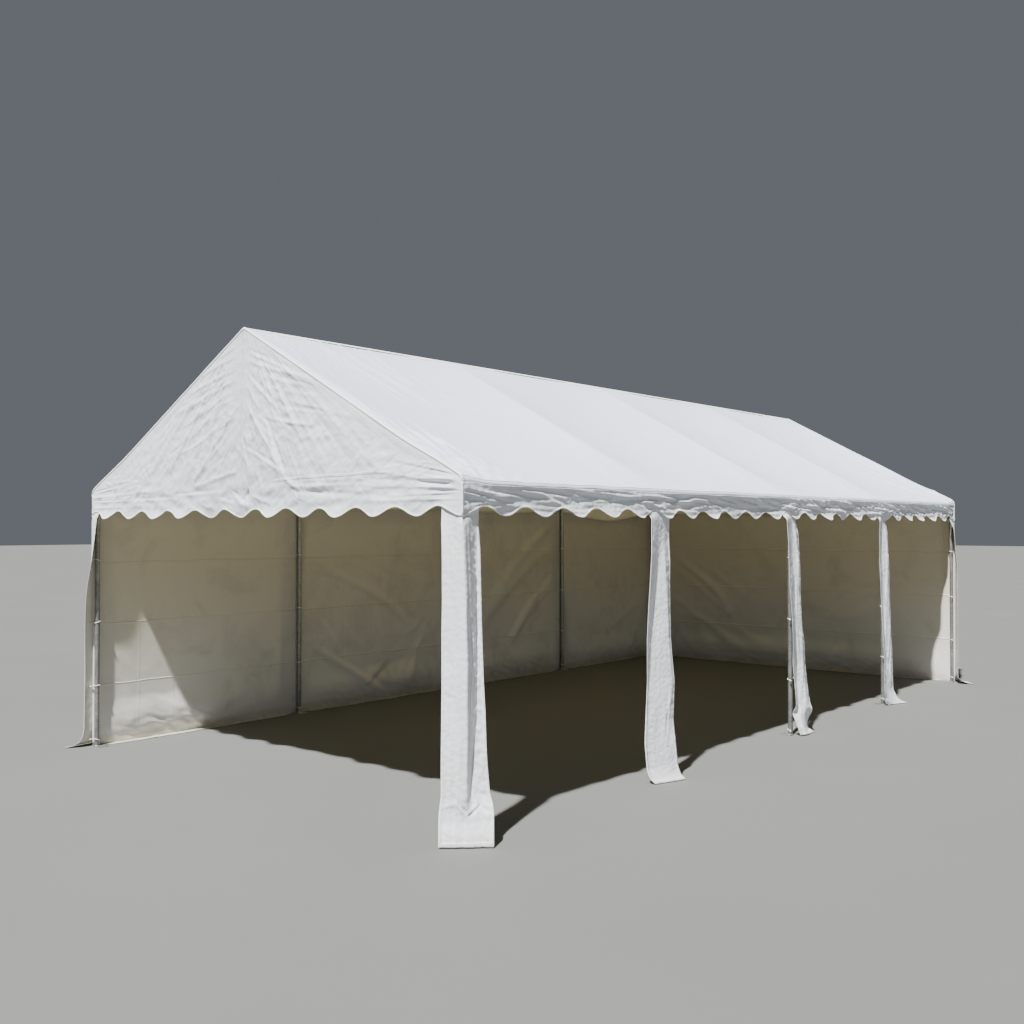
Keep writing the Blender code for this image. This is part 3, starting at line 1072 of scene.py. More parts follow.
@dataclass(frozen=True)
class GableCloth:
    """A gable triangle with its scalloped valance, crumpled and gathered towards its corners."""

    sizes: TentSizes
    end: End
    columns: int = 461
    rows: int = 100
    seed: int = 21
    lobe_spacing: float = 0.34
    curl: float = 0.020
    billow: float = 0.022

    @property
    def edge(self) -> ScallopEdge:
        """The gable's scalloped edge, laid out from its right-hand corner as one faces the front."""
        return ScallopEdge(self.sizes.valance_low - 0.004, self.lobe_spacing, self.sizes.half_width,
                           seed=self.seed + 9)

    def folds(self) -> list[Fold]:
        """List the folds read from the photo, as places across and up the gable, and small ones between."""
        folds = fold_rows(
            # Left of the apex
            (-0.08, 2.93, -0.46, 2.82, 0.008, 0.013, LAP), (-0.09, 2.87, -0.62, 2.75, 0.007, 0.012),
            (-0.09, 2.77, -0.70, 2.64, 0.007, 0.013, LAP), (-0.10, 2.70, -0.80, 2.53, 0.007, 0.014),
            (-0.10, 2.63, -0.66, 2.42, 0.006, 0.012, LAP), (-0.16, 2.74, -0.34, 2.58, -0.007, 0.012),
            (-0.04, 2.53, -0.53, 2.05, 0.012, 0.012, CREASE), (-0.09, 2.50, -0.46, 2.11, -0.003, 0.016),
            (-0.02, 2.44, -0.60, 2.00, 0.004, 0.014), (-0.02, 2.38, -0.30, 2.06, 0.006, 0.010),
            # Right of the apex
            (0.07, 2.89, 0.58, 2.70, 0.012, 0.013, LAP), (0.08, 2.82, 0.80, 2.61, 0.008, 0.014),
            (0.07, 2.74, 0.40, 2.49, 0.010, 0.013, LAP), (0.07, 2.66, 0.20, 2.50, 0.008, 0.011),
            (0.07, 2.54, 0.47, 2.05, 0.014, 0.012, CREASE), (0.26, 2.46, 0.48, 2.05, -0.009, 0.014),
            (0.10, 2.46, 0.42, 2.10, 0.006, 0.010, LAP),
            (0.36, 2.50, 1.02, 2.41, 0.004, 0.014, LAP), (0.50, 2.53, 1.18, 2.37, 0.005, 0.015),
            (0.04, 2.26, 0.47, 2.08, 0.010, 0.013, LAP), (0.00, 2.32, 0.09, 2.06, 0.008, 0.010),
            (-0.03, 2.24, -0.14, 2.06, 0.008, 0.010, LAP), (-0.05, 2.10, -0.54, 2.00, 0.007, 0.013),
            # Half way out on both sides
            (-1.26, 2.40, -1.09, 2.04, 0.010, 0.010, CREASE), (-1.36, 2.28, -1.12, 2.04, 0.006, 0.012),
            (1.31, 2.29, 1.08, 2.03, 0.011, 0.010, CREASE), (1.40, 2.25, 1.21, 2.04, 0.009, 0.010, CREASE),
            (1.22, 2.20, 1.14, 2.08, -0.007, 0.025),
            # The right corner
            (1.52, 2.17, 1.26, 2.01, 0.007, 0.011, LAP), (1.61, 2.12, 1.40, 2.00, 0.008, 0.011, LAP),
            (1.73, 2.09, 1.48, 1.99, 0.008, 0.011, LAP), (1.80, 2.06, 1.60, 1.99, 0.006, 0.009, LAP),
            (1.93, 2.02, 1.45, 2.11, 0.010, 0.011, LAP), (1.94, 1.99, 1.40, 2.03, 0.012, 0.013),
            (1.67, 1.985, 1.93, 1.965, -0.024, 0.011), (1.60, 2.00, 1.94, 1.985, 0.012, 0.011),
            (1.66, 1.955, 1.95, 1.945, 0.014, 0.010, CREASE),
            # Along the valance
            (1.97, 1.93, 1.30, 1.96, 0.010, 0.012, LAP), (1.97, 1.91, 1.42, 1.90, 0.007, 0.008, LAP),
            (1.97, 1.88, 1.15, 1.88, 0.008, 0.011), (0.46, 2.04, 0.64, 1.95, 0.009, 0.016),
            (0.60, 1.95, 1.56, 1.90, -0.012, 0.018), (0.50, 1.99, 1.30, 1.985, 0.007, 0.012, LAP),
            (-1.96, 1.99, -1.32, 2.06, 0.011, 0.011, LAP), (-1.95, 1.95, -0.98, 1.99, 0.010, 0.013),
            (-1.95, 1.92, -0.75, 1.93, 0.009, 0.012, LAP), (-1.94, 1.87, -1.10, 1.88, 0.007, 0.011),
            (-1.80, 2.07, -1.60, 2.01, 0.007, 0.010), (-0.80, 1.95, -0.22, 1.97, 0.008, 0.013, LAP),
            (-0.12, 1.96, 0.03, 1.87, 0.015, 0.011, LAP), (0.06, 1.97, -0.02, 1.89, -0.013, 0.012),
            (0.02, 1.93, 0.05, 1.84, 0.010, 0.010, CREASE), (0.10, 1.93, 0.30, 1.88, 0.007, 0.011),
            (-0.30, 1.93, -0.10, 1.89, 0.007, 0.010, LAP),
            # A valley that evens out a place where many small folds meet
            (-0.27, 2.772, -0.36, 2.708, -0.010, 0.013))
        # Small folds: how many, the starts' ranges across and up, and those of their lengths
        fields = (
            (26, ((0.06, 0.30), (2.35, 2.95)), ((0.20, 0.55), (-0.28, -0.08))),
            (26, ((-0.30, -0.06), (2.35, 2.95)), ((-0.55, -0.20), (-0.28, -0.08))),
            (18, ((-0.10, 0.12), (2.20, 2.55)), ((-0.30, 0.34), (-0.42, -0.25))),
            (16, ((1.40, 1.85), (1.93, 2.10)), ((-0.50, -0.15), (-0.05, 0.06))),
            (16, ((-1.90, -1.50), (1.88, 2.08)), ((0.20, 0.60), (-0.03, 0.06))),
            (34, ((-1.2, 1.2), (2.06, 2.45)), ((-0.14, 0.14), (-0.20, 0.10))),
            (34, ((-1.8, 1.6), (1.86, 2.02)), ((0.08, 0.30), (-0.09, -0.02)), (0.001, 0.003)),
            (60, ((-1.4, 1.4), (2.05, 2.75)), ((-0.12, 0.12), (-0.14, 0.05)), (0.001, 0.0028)),
        )
        for seed, field in enumerate(fields, start=self.seed + 20):
            folds += FoldField(seed, *field).folds()
        return folds

    def relief(self, x: Array, z: Array) -> Array:
        """Give how far the cloth stands out of its plane.

        Args:
            x: Places across the gable.
            z: Heights.

        Returns:
            The relief, outwards.
        """
        sizes = self.sizes
        above = sizes.cover_height(x, np.full_like(x, sizes.half_length)) - z
        across = x if self.end is End.FRONT else -x * 0.96 + 0.06
        from_middle = np.abs(across)
        beside = smooth_step(0.7, 1.3, from_middle) * (1.0 - 0.5 * smooth_step(1.65, 1.85, from_middle))
        total = total_relief(self.folds(), across, z) * (1.0 - 0.68 * beside)
        # A fan of creases from the apex, kept off the smooth band under it
        under_apex = sizes.ridge + 0.05 - z
        radius, angle = np.hypot(across, under_apex), np.arctan2(across, under_apex)
        fan = Ripple(self.seed, (0.085, 0.9)).at(angle, radius)
        fan += 0.6 * Ripple(self.seed + 1, (0.035, 0.6)).at(angle, radius)
        band = smooth_step(0.05, 0.16, from_middle + 0.10 * (sizes.ridge - 0.35 - z))
        total += 0.0065 * fan * band * smooth_step(0.15, 0.5, radius) * smooth_step(1.98, 2.15, z)
        # Crumpled cells all over the triangle, and long soft gathers along the band under it
        coarse = Ripple(self.seed + 2, (0.21, 0.13)).at(across + 0.5 * z, z - 0.3 * across)
        fine = Ripple(self.seed + 3, (0.10, 0.08)).at(across - 0.6 * z, z)
        crumple = 1.0 - np.abs(coarse) * 2.0
        crumple += 0.7 * (1.0 - np.abs(fine) * 2.0)
        total += 0.0038 * crumple * smooth_step(0.03, 0.20, above) * band
        gathers = Ripple(self.seed + 4, (0.24, 0.07)).at(across + 0.8 * z, z + 0.10 * np.cos(2.2 * across))
        low_band = 1.0 - smooth_step(sizes.eave, sizes.eave + 0.08, z)
        total += 0.0065 * gathers * low_band
        billow = self.billow * np.sin(math.pi * np.clip(above / 1.1, 0.0, 1.0))
        from_corner = sizes.half_width - np.abs(x)
        hold = smooth_step(0.0, 0.045, above) * smooth_step(0.0, 0.03, from_corner)
        total = (total + billow) * hold
        # The end frame's bolt heads stand right behind the triangle
        total = np.maximum(total, 0.003 * hold - 0.021 * low_band)
        return total + self.edge.curl(x, z, self.curl) * smooth_step(0.0, 0.05, from_corner)

    def place(self, x: Array, z: Array) -> Array:
        """Give the cloth's places over the gable's plane."""
        return np.stack([x, self.end.value * (self.sizes.half_length + self.relief(x, z)), z], axis=-1)

    def build(self, finishes: Finishes) -> None:
        """Args:
            finishes: The tent's materials.
        """
        sizes = self.sizes
        u, v = grid(self.rows, self.columns)
        x = sizes.half_width * (2.0 * u - 1.0)
        top = sizes.cover_height(x, np.full_like(x, sizes.half_length))
        z = top + (self.edge.height(x) - top) * v
        word = self.end.name.lower()
        outward = Vector((0.0, self.end.value, 0.0))
        item = cloth_object(f"gable_cloth_{word}", self.place(x, z), finishes.gable, outward)
        settle(item, [f"gable_{word}"])
        pieces = [edge_binding(f"gable_binding_{word}", self.place, self.edge, x[0], outward, finishes.weld),
                  self.level_weld(outward, finishes), self.upright_weld(outward, finishes)]
        for piece in pieces:
            settle(piece)

    def level_weld(self, outward: Vector, finishes: Finishes) -> Piece:
        """Make the level weld over the valance, proud only where the cloth is drawn tight over it.

        Args:
            outward: The side that the gable's outer face looks to.
            finishes: The tent's materials.

        Returns:
            The weld.
        """
        u, v = grid(5, 321)
        x = 1.86 * (2.0 * u - 1.0)
        z = self.sizes.eave + 0.060 - 0.012 * np.cos(2.0 * x)
        z = z + 0.006 * Ripple(self.seed + 8, (0.3, 1.0)).line(x)
        tight = smooth_step(0.1, 0.5, x) * (1.0 - smooth_step(1.3, 1.6, x))
        return self.weld("level", x, z - 0.018 * v, tight, outward, finishes)

    def upright_weld(self, outward: Vector, finishes: Finishes) -> Piece:
        """Make the upright weld under the apex.

        Args:
            outward: The side that the gable's outer face looks to.
            finishes: The tent's materials.

        Returns:
            The weld.
        """
        u, v = grid(121, 5)
        x = 0.010 + 0.020 * (u - 0.5)
        z = self.sizes.ridge - 0.06 + (self.sizes.eave + 0.05 - self.sizes.ridge) * v
        return self.weld("upright", x, z, np.ones_like(x), outward, finishes)

    def weld(self, way: str, x: Array, z: Array, tight: Array, outward: Vector, finishes: Finishes) -> Piece:
        """Make a weld of the gable.

        Args:
            way: How it runs, for its name.
            x: Its places across the gable.
            z: Its heights.
            tight: How tightly the cloth lies over it, from 0 to 1.
            outward: The side that the gable's outer face looks to.
            finishes: The tent's materials.

        Returns:
            The weld.
        """
        points = self.place(x, z) + np.array(outward) * (0.0010 * tight - 0.0006)[..., None]
        name = f"gable_{way}_weld_{self.end.name.lower()}"
        return cloth_object(name, points, finishes.gable, outward, 0.0006)


@dataclass(frozen=True)
class SideValance:
    """The scalloped valance of a long side: hollow under the eave tube, flared below, gathered at each post.

    low is the height of its lobes.
    """

    sizes: TentSizes
    side: Side
    low: float
    columns: int = 1101
    rows: int = 27
    seed: int = 41
    curl: float = 0.014

    @property
    def edge(self) -> ScallopEdge:
        """The valance's scalloped edge, with the drift read from the photo."""
        drift = ((-4.0, 0.0), (-3.6, 0.045), (-2.5, 0.085), (-1.9, 0.09), (-1.0, 0.05),
                 (0.0, 0.06), (0.8, 0.02), (2.2, 0.01), (3.0, -0.03), (4.0, 0.0))
        return ScallopEdge(self.low - 0.004, 1.0 / 3.0, self.sizes.half_length, drift, self.seed + 9)

    def folds(self) -> list[Fold]:
        """List the folds at the posts and along the bays, as places along and up the valance."""
        sizes = self.sizes
        top, low = sizes.eave - 0.02, self.low
        rng = np.random.default_rng(self.seed)
        folds: list[Fold] = []
        # Short creases cross each other at the posts, where the ties pull the cloth in
        for y in sizes.frame_ys:
            for direction in (-1.0, 1.0):
                for _ in range(6):
                    start = (y + direction * rng.uniform(-0.04, 0.06), rng.uniform(low + 0.05, top - 0.01))
                    finish = (y + direction * rng.uniform(0.12, 0.60), rng.uniform(low + 0.04, top - 0.02))
                    folds.append(Fold(start, finish, rng.uniform(0.004, 0.010), rng.uniform(0.007, 0.013),
                                      LAP if rng.random() < 0.6 else CREASE))
        # Long shallow folds run down from the eave over the whole length
        for start in np.arange(-sizes.end_y + 0.1, sizes.end_y - 0.8, 0.19):
            level = rng.uniform(low + 0.10, top)
            finish = (start + rng.uniform(0.25, 0.7), level - rng.uniform(0.02, 0.11))
            folds.append(Fold((start, level), finish, rng.uniform(0.004, 0.009),
                              rng.uniform(0.010, 0.020), LAP))
        # Diagonal folds of the last two bays, dragged towards the far corner
        for start in np.arange(sizes.end_y - 3.9, sizes.end_y - 0.10, 0.12):
            share = smooth_step(-0.6, 3.4, start)
            drop = rng.uniform(0.4, 1.0) * (top - low - 0.04)
            finish = (start + rng.uniform(0.12, 0.34), top - drop)
            folds.append(Fold((start, top - 0.01), finish, 0.004 + 0.011 * share,
                              rng.uniform(0.009, 0.015), LAP if share > 0.4 else CREASE))
        return folds

    def relief(self, y: Array, z: Array) -> Array:
        """Give how far the cloth stands out of its plane.

        Args:
            y: Places along the valance.
            z: Heights.

        Returns:
            The relief, outwards.
        """
        sizes = self.sizes
        along = y if self.side is Side.RIGHT else -y * 0.98 + 0.04
        depth = sizes.eave - 0.02 - z
        # Between the posts it is hollow down to the waist and flares under it
        near_post = sum(bell(y - place, 0.13) for place in sizes.frame_ys[1:-1])
        open_share = np.clip(1.0 - near_post - bell(sizes.from_end(y), 0.035), 0.0, 1.0)
        waist = 0.070 + 0.040 * Ripple(self.seed + 4, (0.45, 1.0)).line(along)
        tuck = (1.0 - np.cos(math.pi * np.clip(depth / waist, 0.0, 1.0))) / 2.0
        tuck = tuck * (0.62 + 0.55 * Ripple(self.seed + 5, (0.55, 1.0)).line(along + 2.0 * depth))
        flare = np.clip(depth - waist, 0.0, None) * 0.12
        hollow = open_share * (-0.024 * tuck + flare)
        total = total_relief(self.folds(), along, z)
        total += 0.006 * Ripple(self.seed + 1, (0.50, 0.045)).at(along, z + 0.02 * np.sin(2.1 * along))
        total += 0.004 * Ripple(self.seed + 2, (0.20, 0.028)).at(along, z)
        far = smooth_step(-0.5, 2.5, along)
        total += (0.0015 + 0.003 * far) * Ripple(self.seed + 3, (0.045, 0.040)).at(along + 0.7 * z, z)
        hold = smooth_step(0.0, 0.02, depth) * smooth_step(0.0, 0.03, sizes.from_end(y))
        total = (total + hollow) * hold
        # On the left the valance hangs outside the walls and covers, which stand right behind it
        least = -0.003 - 0.040 * open_share if self.side is Side.RIGHT else 0.010 * hold
        total = np.maximum(total, least)
        curled = self.edge.curl(y, z, self.curl) * (1.0 + 0.6 * far)
        total += curled * smooth_step(0.0, 0.05, sizes.from_end(y))
        return total if self.side is Side.RIGHT else np.maximum(total, least)

    def place(self, y: Array, z: Array) -> Array:
        """Give the cloth's places over its plane."""
        return np.stack([self.side.value * (self.sizes.half_width + self.relief(y, z)), y, z], axis=-1)

    def build(self, finishes: Finishes) -> None:
        """Args:
            finishes: The tent's materials.
        """
        sizes = self.sizes
        u, v = grid(self.rows, self.columns)
        y = sizes.half_length * (2.0 * u - 1.0)
        _, _, level = sizes.eave_turn(y)
        top = level + sizes.corner_lift(np.full_like(y, sizes.half_width), y)
        z = top + (self.edge.height(y) - top) * v
        word = self.side.name.lower()
        outward = Vector((self.side.value, 0.0, 0.0))
        item = cloth_object(f"valance_cloth_{word}", self.place(y, z), finishes.valance, outward)
        settle(item, [f"valance_{word}"])
        pieces = [edge_binding(f"valance_binding_{word}", self.place, self.edge, y[0], outward,
                               finishes.weld)]
        pieces += [self.corner_seam(end, finishes) for end in End]
        for piece in pieces:
            settle(piece)

    def corner_seam(self, end: End, finishes: Finishes) -> Piece:
        """Make the upright welded seam at a corner of the valance.

        Args:
            end: The gable end that the corner is at.
            finishes: The tent's materials.

        Returns:
            The seam.
        """
        sizes = self.sizes
        z = np.linspace(sizes.eave - 0.01, max(self.low, sizes.valance_low) + 0.002, 15)
        pucker = 0.0016 * Ripple(self.seed + 6, (0.018, 1.0)).line(z)
        # Its section, outwards from the side and from the gable
        section = [(0.0004, -0.012), (0.0020, -0.006), (0.0022, 0.0022), (-0.006, 0.0020), (-0.012, 0.0004)]
        columns = [np.stack([self.side.value * (sizes.half_width + out_x + pucker),
                             end.value * (sizes.half_length + out_y + pucker), z], axis=-1)
                   for out_x, out_y in section]
        outward = Vector((self.side.value, end.value, 0.0))
        name = f"corner_seam_{self.side.name.lower()}_{end.name.lower()}"
        return cloth_object(name, np.stack(columns, axis=1), finishes.weld, outward, 0.0015)


@dataclass(frozen=True)
class WallCloth:
    """A wall panel: level creases from storage, soft drape folds, and a foot that rolls in on the ground.

    It runs from start to end along its side, in a plane. slack says how loosely it hangs, and top_sag how far
    its top sags between its ends.
    """

    sizes: TentSizes
    name: str
    nodes: tuple[str, ...]
    start: float
    end: float
    plane: float
    across_tent: bool
    seed: int
    top_sag: float = 0.012
    slack: float = 1.0
    columns: int = 85
    rows: int = 84
    flap_rows: int = 6
    top: float = 1.905

    def drapes(self) -> list[Fold]:
        """List the soft folds that hang from the ties at the panel's two posts."""
        rng = np.random.default_rng(self.seed)
        length = self.end - self.start
        folds = []
        for number in range(10 if length < 3.0 else 16):
            at_start = number % 2 == 0
            edge = self.start + 0.04 if at_start else self.end - 0.04
            inward = 1.0 if at_start else -1.0
            high = rng.uniform(0.55, 1.85)
            run = rng.uniform(0.35, 0.95) * min(length, 2.4) * 0.8
            folds.append(Fold((edge, high), (edge + inward * run, high - rng.uniform(0.35, 1.2)),
                              rng.uniform(0.014, 0.030), rng.uniform(0.03, 0.08),
                              LAP if rng.random() < 0.6 else SOFT, bend=rng.uniform(-0.12, 0.12)))
        if self.top_sag > 0.05:
            # A top that hangs loose draws folds from both its ends
            middle = (self.start + self.end) / 2.0
            for drop in (0.05, 0.13, 0.24):
                for edge in (self.start + 0.03, self.end - 0.03):
                    folds.append(Fold((edge, 1.86), (middle, 1.90 - self.top_sag - drop), 0.014, 0.022, LAP))
        return folds

    def relief(self, s: Array, z: Array) -> Array:
        """Give how far the cloth leans inwards of its plane.

        Args:
            s: Places along the panel.
            z: Heights.

        Returns:
            The lean, inwards.
        """
        u = (s - self.start) / (self.end - self.start)
        held = np.sin(math.pi * np.clip(u, 0.0, 1.0)) ** 0.7
        total = self.slack * total_relief(self.drapes(), s, z) * held
        total += 0.011 * self.slack * Ripple(self.seed + 1, (0.9, 0.8)).at(s, z) * held
        total += 0.004 * Ripple(self.seed + 2, (0.35, 0.30)).at(s + z, z - 0.4 * s) * held
        if self.across_tent:
            total *= 1.0 - 0.8 * smooth_step(0.9, 1.5, s)
        # Each crease left by storage turns the cloth a little
        for level in CREASE_LEVELS:
            from_crease = np.abs(z - level)
            total -= 0.070 * from_crease * np.exp(-from_crease / 0.10) * held
        for place in np.arange(self.start + CREASE_GRID[0], self.end - 0.1, CREASE_GRID[0]):
            from_crease = np.abs(s - place)
            total -= 0.012 * from_crease * np.exp(-from_crease / 0.06) * smooth_step(1.3, 0.5, z)
        # The foot bellies in and tucks back under itself
        belly = np.sin(math.pi * np.clip((0.40 - z) / 0.44, 0.0, 1.0)) ** 2
        wave = 0.75 + 0.35 * Ripple(self.seed + 4, (0.28, 1.0)).line(s)
        deep = 0.062 * (0.4 + 0.6 * self.slack)
        total += deep * belly * (0.25 + 0.75 * smooth_step(0.0, 0.075, z)) * held ** 0.6 * wave
        total += 0.010 * Ripple(self.seed + 5, (0.08, 0.055)).at(s + z, z) * smooth_step(0.26, 0.12, z) * held
        hold = smooth_step(0.0, 0.13, u) * smooth_step(0.0, 0.13, 1.0 - u)
        return np.maximum(total * (0.10 + 0.90 * hold), -0.0005)

    def build(self, finishes: Finishes) -> None:
        """Build the panel with its top hem.

        Args:
            finishes: The tent's materials.
        """
        u, v = grid(self.rows, self.columns)
        s = self.start + (self.end - self.start) * u
        # Rows crowd towards the foot, where the cloth rolls
        fall = 1.0 - (1.0 - v) ** 1.5
        top = self.top - self.top_sag * np.sin(math.pi * u) ** 1.6
        z = top - (top - HEM_LIFT) * fall
        points = np.concatenate([self.place(s, z), self.flap(s[0])])
        item = cloth_object(self.name, points, finishes.wall, self.outward)
        settle(item, self.nodes)
        hem = self.top_hem(s[0], top[0], finishes)
        settle(hem)

    @property
    def outward(self) -> Vector:
        """The side that the panel's outer face looks to."""
        return Vector((0.0, 1.0, 0.0)) if self.across_tent else Vector((-1.0, 0.0, 0.0))

    def place(self, s: Array, z: Array, more: float | Array = 0.0) -> Array:
        """Give the panel's places, leaning inwards by its relief.

        Args:
            s: Places along the panel.
            z: Heights.
            more: How much further in they lie.

        Returns:
            The places.
        """
        inward = self.relief(s, z) + more
        if self.across_tent:
            return np.stack([s, self.plane - inward, z], axis=-1)
        return np.stack([self.plane + inward, s, z], axis=-1)

    def flap(self, s: Array) -> Array:
        """Give the rows of the ground flap, which lies crumpled inside the foot.

        Args:
            s: Places along the panel.

        Returns:
            The flap's places, a row at a time.
        """
        u = (s - self.start) / (self.end - self.start)
        ends = smooth_step(0.02, 0.10, u) * smooth_step(0.02, 0.10, 1.0 - u)
        share = np.linspace(0.0, 1.0, self.flap_rows + 1)[1:, None]
        along = np.repeat(s[None, :], self.flap_rows, axis=0)
        reach = (0.070 + 0.014 * Ripple(self.seed + 6, (0.21, 1.0)).line(s)) * ends
        lift = 0.005 * np.abs(Ripple(self.seed + 7, (0.06, 0.4)).at(along, share * np.ones_like(along)))
        return self.place(along, HEM_LIFT + lift * share * ends, reach * share)

    def top_hem(self, s: Array, top: Array, finishes: Finishes) -> Piece:
        """Make the doubled hem that the ties go through.

        Args:
            s: Places along the panel.
            top: The height of its top there.
            finishes: The tent's materials.

        Returns:
            The hem.
        """
        drops = np.array([-0.002, 0.012, 0.024])
        heights = top[None, :] - drops[:, None]
        along = np.repeat(s[None, :], len(drops), axis=0)
        points = self.place(along, heights) - np.array(self.outward) * 0.0022
        return cloth_object(self.name + "_top_hem", points, finishes.wall, self.outward, 0.0036)


@dataclass(frozen=True)
class Level:
    """A level of a hanging cover, in plan.

    out and along move the middle of its width outwards and inwards along the side. headings are those of
    its first, middle and last part, in degrees: 0 runs outwards along the gable, 90 along the side.
    splits are the shares of the width where they change.
    """

    height: float
    out: float
    along: float
    headings: tuple[float, float, float] = (90.0, 90.0, 90.0)
    splits: Pair = (0.3, 0.7)


@dataclass(frozen=True)
class HangingCover:
    """A strip of cloth that hangs outside a post, straight between two bays or folded round a corner.

    crumple is the depth of its small random relief.
    """

    sizes: TentSizes
    valance: SideValance
    gable: GableCloth
    number: int
    levels: tuple[Level, ...]
    seed: int
    width: float = 0.27
    folds: tuple[Fold, ...] = ()
    columns: int = 31
    rows: int = 131
    crumple: float = 0.0030

    @property
    def side(self) -> Side:
        """The long side that the cover hangs on."""
        return self.valance.side

    @property
    def at_back(self) -> bool:
        """Whether the cover hangs on a post of the back gable."""
        return self.number == self.sizes.bays + 1

    @property
    def at_corner(self) -> bool:
        """Whether the cover goes round a corner post."""
        return self.number == 1 or self.at_back

    @property
    def word(self) -> str:
        """The cover's place, as it stands in the pieces' names."""
        return f"{self.side.name.lower()}_{self.number}"

    def table(self) -> Array:
        """Give the levels as smooth rows of numbers, spaced evenly down the cloth."""
        values = np.array([(v.height, v.out, v.along, *v.headings, *v.splits) for v in self.levels])
        steps = np.hypot(np.diff(values[:, 0]), np.hypot(np.diff(values[:, 1]), np.diff(values[:, 2])))
        lengths = np.concatenate([[0.0], np.cumsum(steps)])
        places = np.linspace(0.0, lengths[-1], self.rows)
        rows = np.stack([np.interp(places, lengths, column) for column in values.T], axis=1)
        for _ in range(2):
            rows[1:-1] = 0.25 * rows[:-2] + 0.5 * rows[1:-1] + 0.25 * rows[2:]
        return rows

    def lift(self, across: Array, level: Array) -> Array:
        """Give how far the crumples and folds lift the cover.

        Args:
            across: Places across its width, from its middle.
            level: Heights.

        Returns:
            The lift, which ends under the valance.
        """
        u = across / self.width + 0.5
        free = np.clip((self.sizes.eave - 0.17 - level) / 0.15, 0.0, 1.0)
        lift = 0.4 * self.crumple * Ripple(self.seed, (0.07, 0.20)).at(across, level + across)
        # The margins crumple most, but the hem keeps the edge itself straight
        from_middle = np.abs(u - 0.5)
        edges = smooth_step(0.10, 0.40, from_middle) * (1.0 - 0.85 * smooth_step(0.40, 0.47, from_middle))
        if self.at_corner:
            edges = edges * (0.3 + 0.7 * smooth_step(0.4, 0.6, u))
        small = Ripple(self.seed + 1, (0.045, 0.035)).at(across, level + 0.5 * across)
        lift = lift + self.crumple * edges * small
        lift = lift + 0.5 * self.crumple * Ripple(self.seed + 2, (0.03, 0.3)).at(across, level)
        return (lift + total_relief(self.folds, across, level)) * free

    def points(self) -> Array:
        """Give the cover's places, row by row from its top."""
        sizes = self.sizes
        u = np.linspace(0.0, 1.0, self.columns)
        across = (u - 0.5) * self.width
        step = self.width / (self.columns - 1)
        middle = self.columns // 2
        rows = []
        for height, out, along, first, centre, last, low, high in self.table():
            # The first turn is rounder than the second
            knots = (0.0, low - 0.055, low + 0.02, high - 0.015, high + 0.015, 1.0)
            heading = np.radians(np.interp(u, knots, (first, first, centre, centre, last, last)))
            mean = (heading[1:] + heading[:-1]) / 2.0
            run = np.concatenate([[0.0], np.cumsum(np.cos(mean))]) * step
            rise = np.concatenate([[0.0], np.cumsum(np.sin(mean))]) * step
            level = np.full_like(u, height)
            lift = self.lift(across, level)
            rows.append(np.stack([out + run - run[middle] + lift * np.sin(heading),
                                  along + rise - rise[middle] - lift * np.cos(heading), level], axis=-1))
        local = np.stack(rows)
        gap = SLEEVE_RADIUS + 0.005
        mirrored = -1.0 if self.at_back else 1.0
        anchor = sizes.frame_ys[self.number - 1] - (mirrored * gap if self.at_corner else 0.0)
        x = self.side.value * (sizes.post_x + gap + local[..., 0])
        return self.tucked_in(x, anchor + mirrored * local[..., 1], local[..., 2])

    def tucked_in(self, x: Array, y: Array, z: Array) -> Array:
        """Keep the cover's top behind the valance, and at a corner behind the gable's, and join its places.

        Args:
            x: Places across the tent.
            y: Places along it.
            z: Heights.

        Returns:
            The places.
        """
        gap, tucked = 0.005, (-0.05, 0.005)
        under = smooth_step(*tucked, z - self.valance.edge.height(y))
        over = np.abs(x) - (self.sizes.half_width + self.valance.relief(y, z) - gap)
        x = x - np.sign(x) * under * np.clip(over, 0.0, None)
        if self.at_corner:
            under = smooth_step(*tucked, z - self.gable.edge.height(x))
            over = np.abs(y) - (self.sizes.half_length + self.gable.relief(x, z) - gap)
            y = y - np.sign(y) * under * np.clip(over, 0.0, None)
        # Where there are walls, the cover stays outside them
        outside = SLEEVE_RADIUS + 0.0065
        if self.at_back:
            beyond = self.sizes.end_y + outside
            y = np.where(np.abs(x) < self.sizes.post_x + SLEEVE_RADIUS, np.maximum(y, beyond), y)
        if self.side is Side.LEFT:
            beyond = self.sizes.post_x + outside
            x = np.where(np.abs(y) < self.sizes.end_y + SLEEVE_RADIUS, np.minimum(x, -beyond), x)
        return np.stack([x, y, z], axis=-1)

    def build(self, finishes: Finishes) -> None:
        """Args:
            finishes: The tent's materials.
        """
        points = self.points()
        facing = 1.0 if self.at_back else -1.0
        outward = Vector((self.side.value, facing if self.at_corner else 0.0, 0.0))
        item = cloth_object(f"leg_cloth_{self.word}", points, finishes.leg, outward)
        settle(item, [f"leg_cover_{self.word}"])
        hem = self.hem(points, outward, finishes)
        f"valance_cloth_{self.side.name.lower()}"

    def hem(self, points: Array, outward: Vector, finishes: Finishes) -> Piece:
        """Make the doubled hem round the strip's long edges and foot.

        Args:
            points: The strip's places.
            outward: The side that its outer face looks to.
            finishes: The tent's materials.

        Returns:
            The hem.
        """
        beside = max(1, round(HEM_WIDTH / (self.width / (self.columns - 1))))
        under = max(1, round(1.6 * HEM_WIDTH / (2.0 / self.rows)))
        kept = np.zeros((self.rows - 1, self.columns - 1), dtype=bool)
        kept[:, :beside] = kept[:, -beside:] = kept[-under:] = True
        shifted = points + np.array(outward.normalized()) * 0.0004
        hem = cloth_object(f"leg_hem_{self.word}", shifted, finishes.leg, outward, 0.0018, kept)
        return settle(hem)


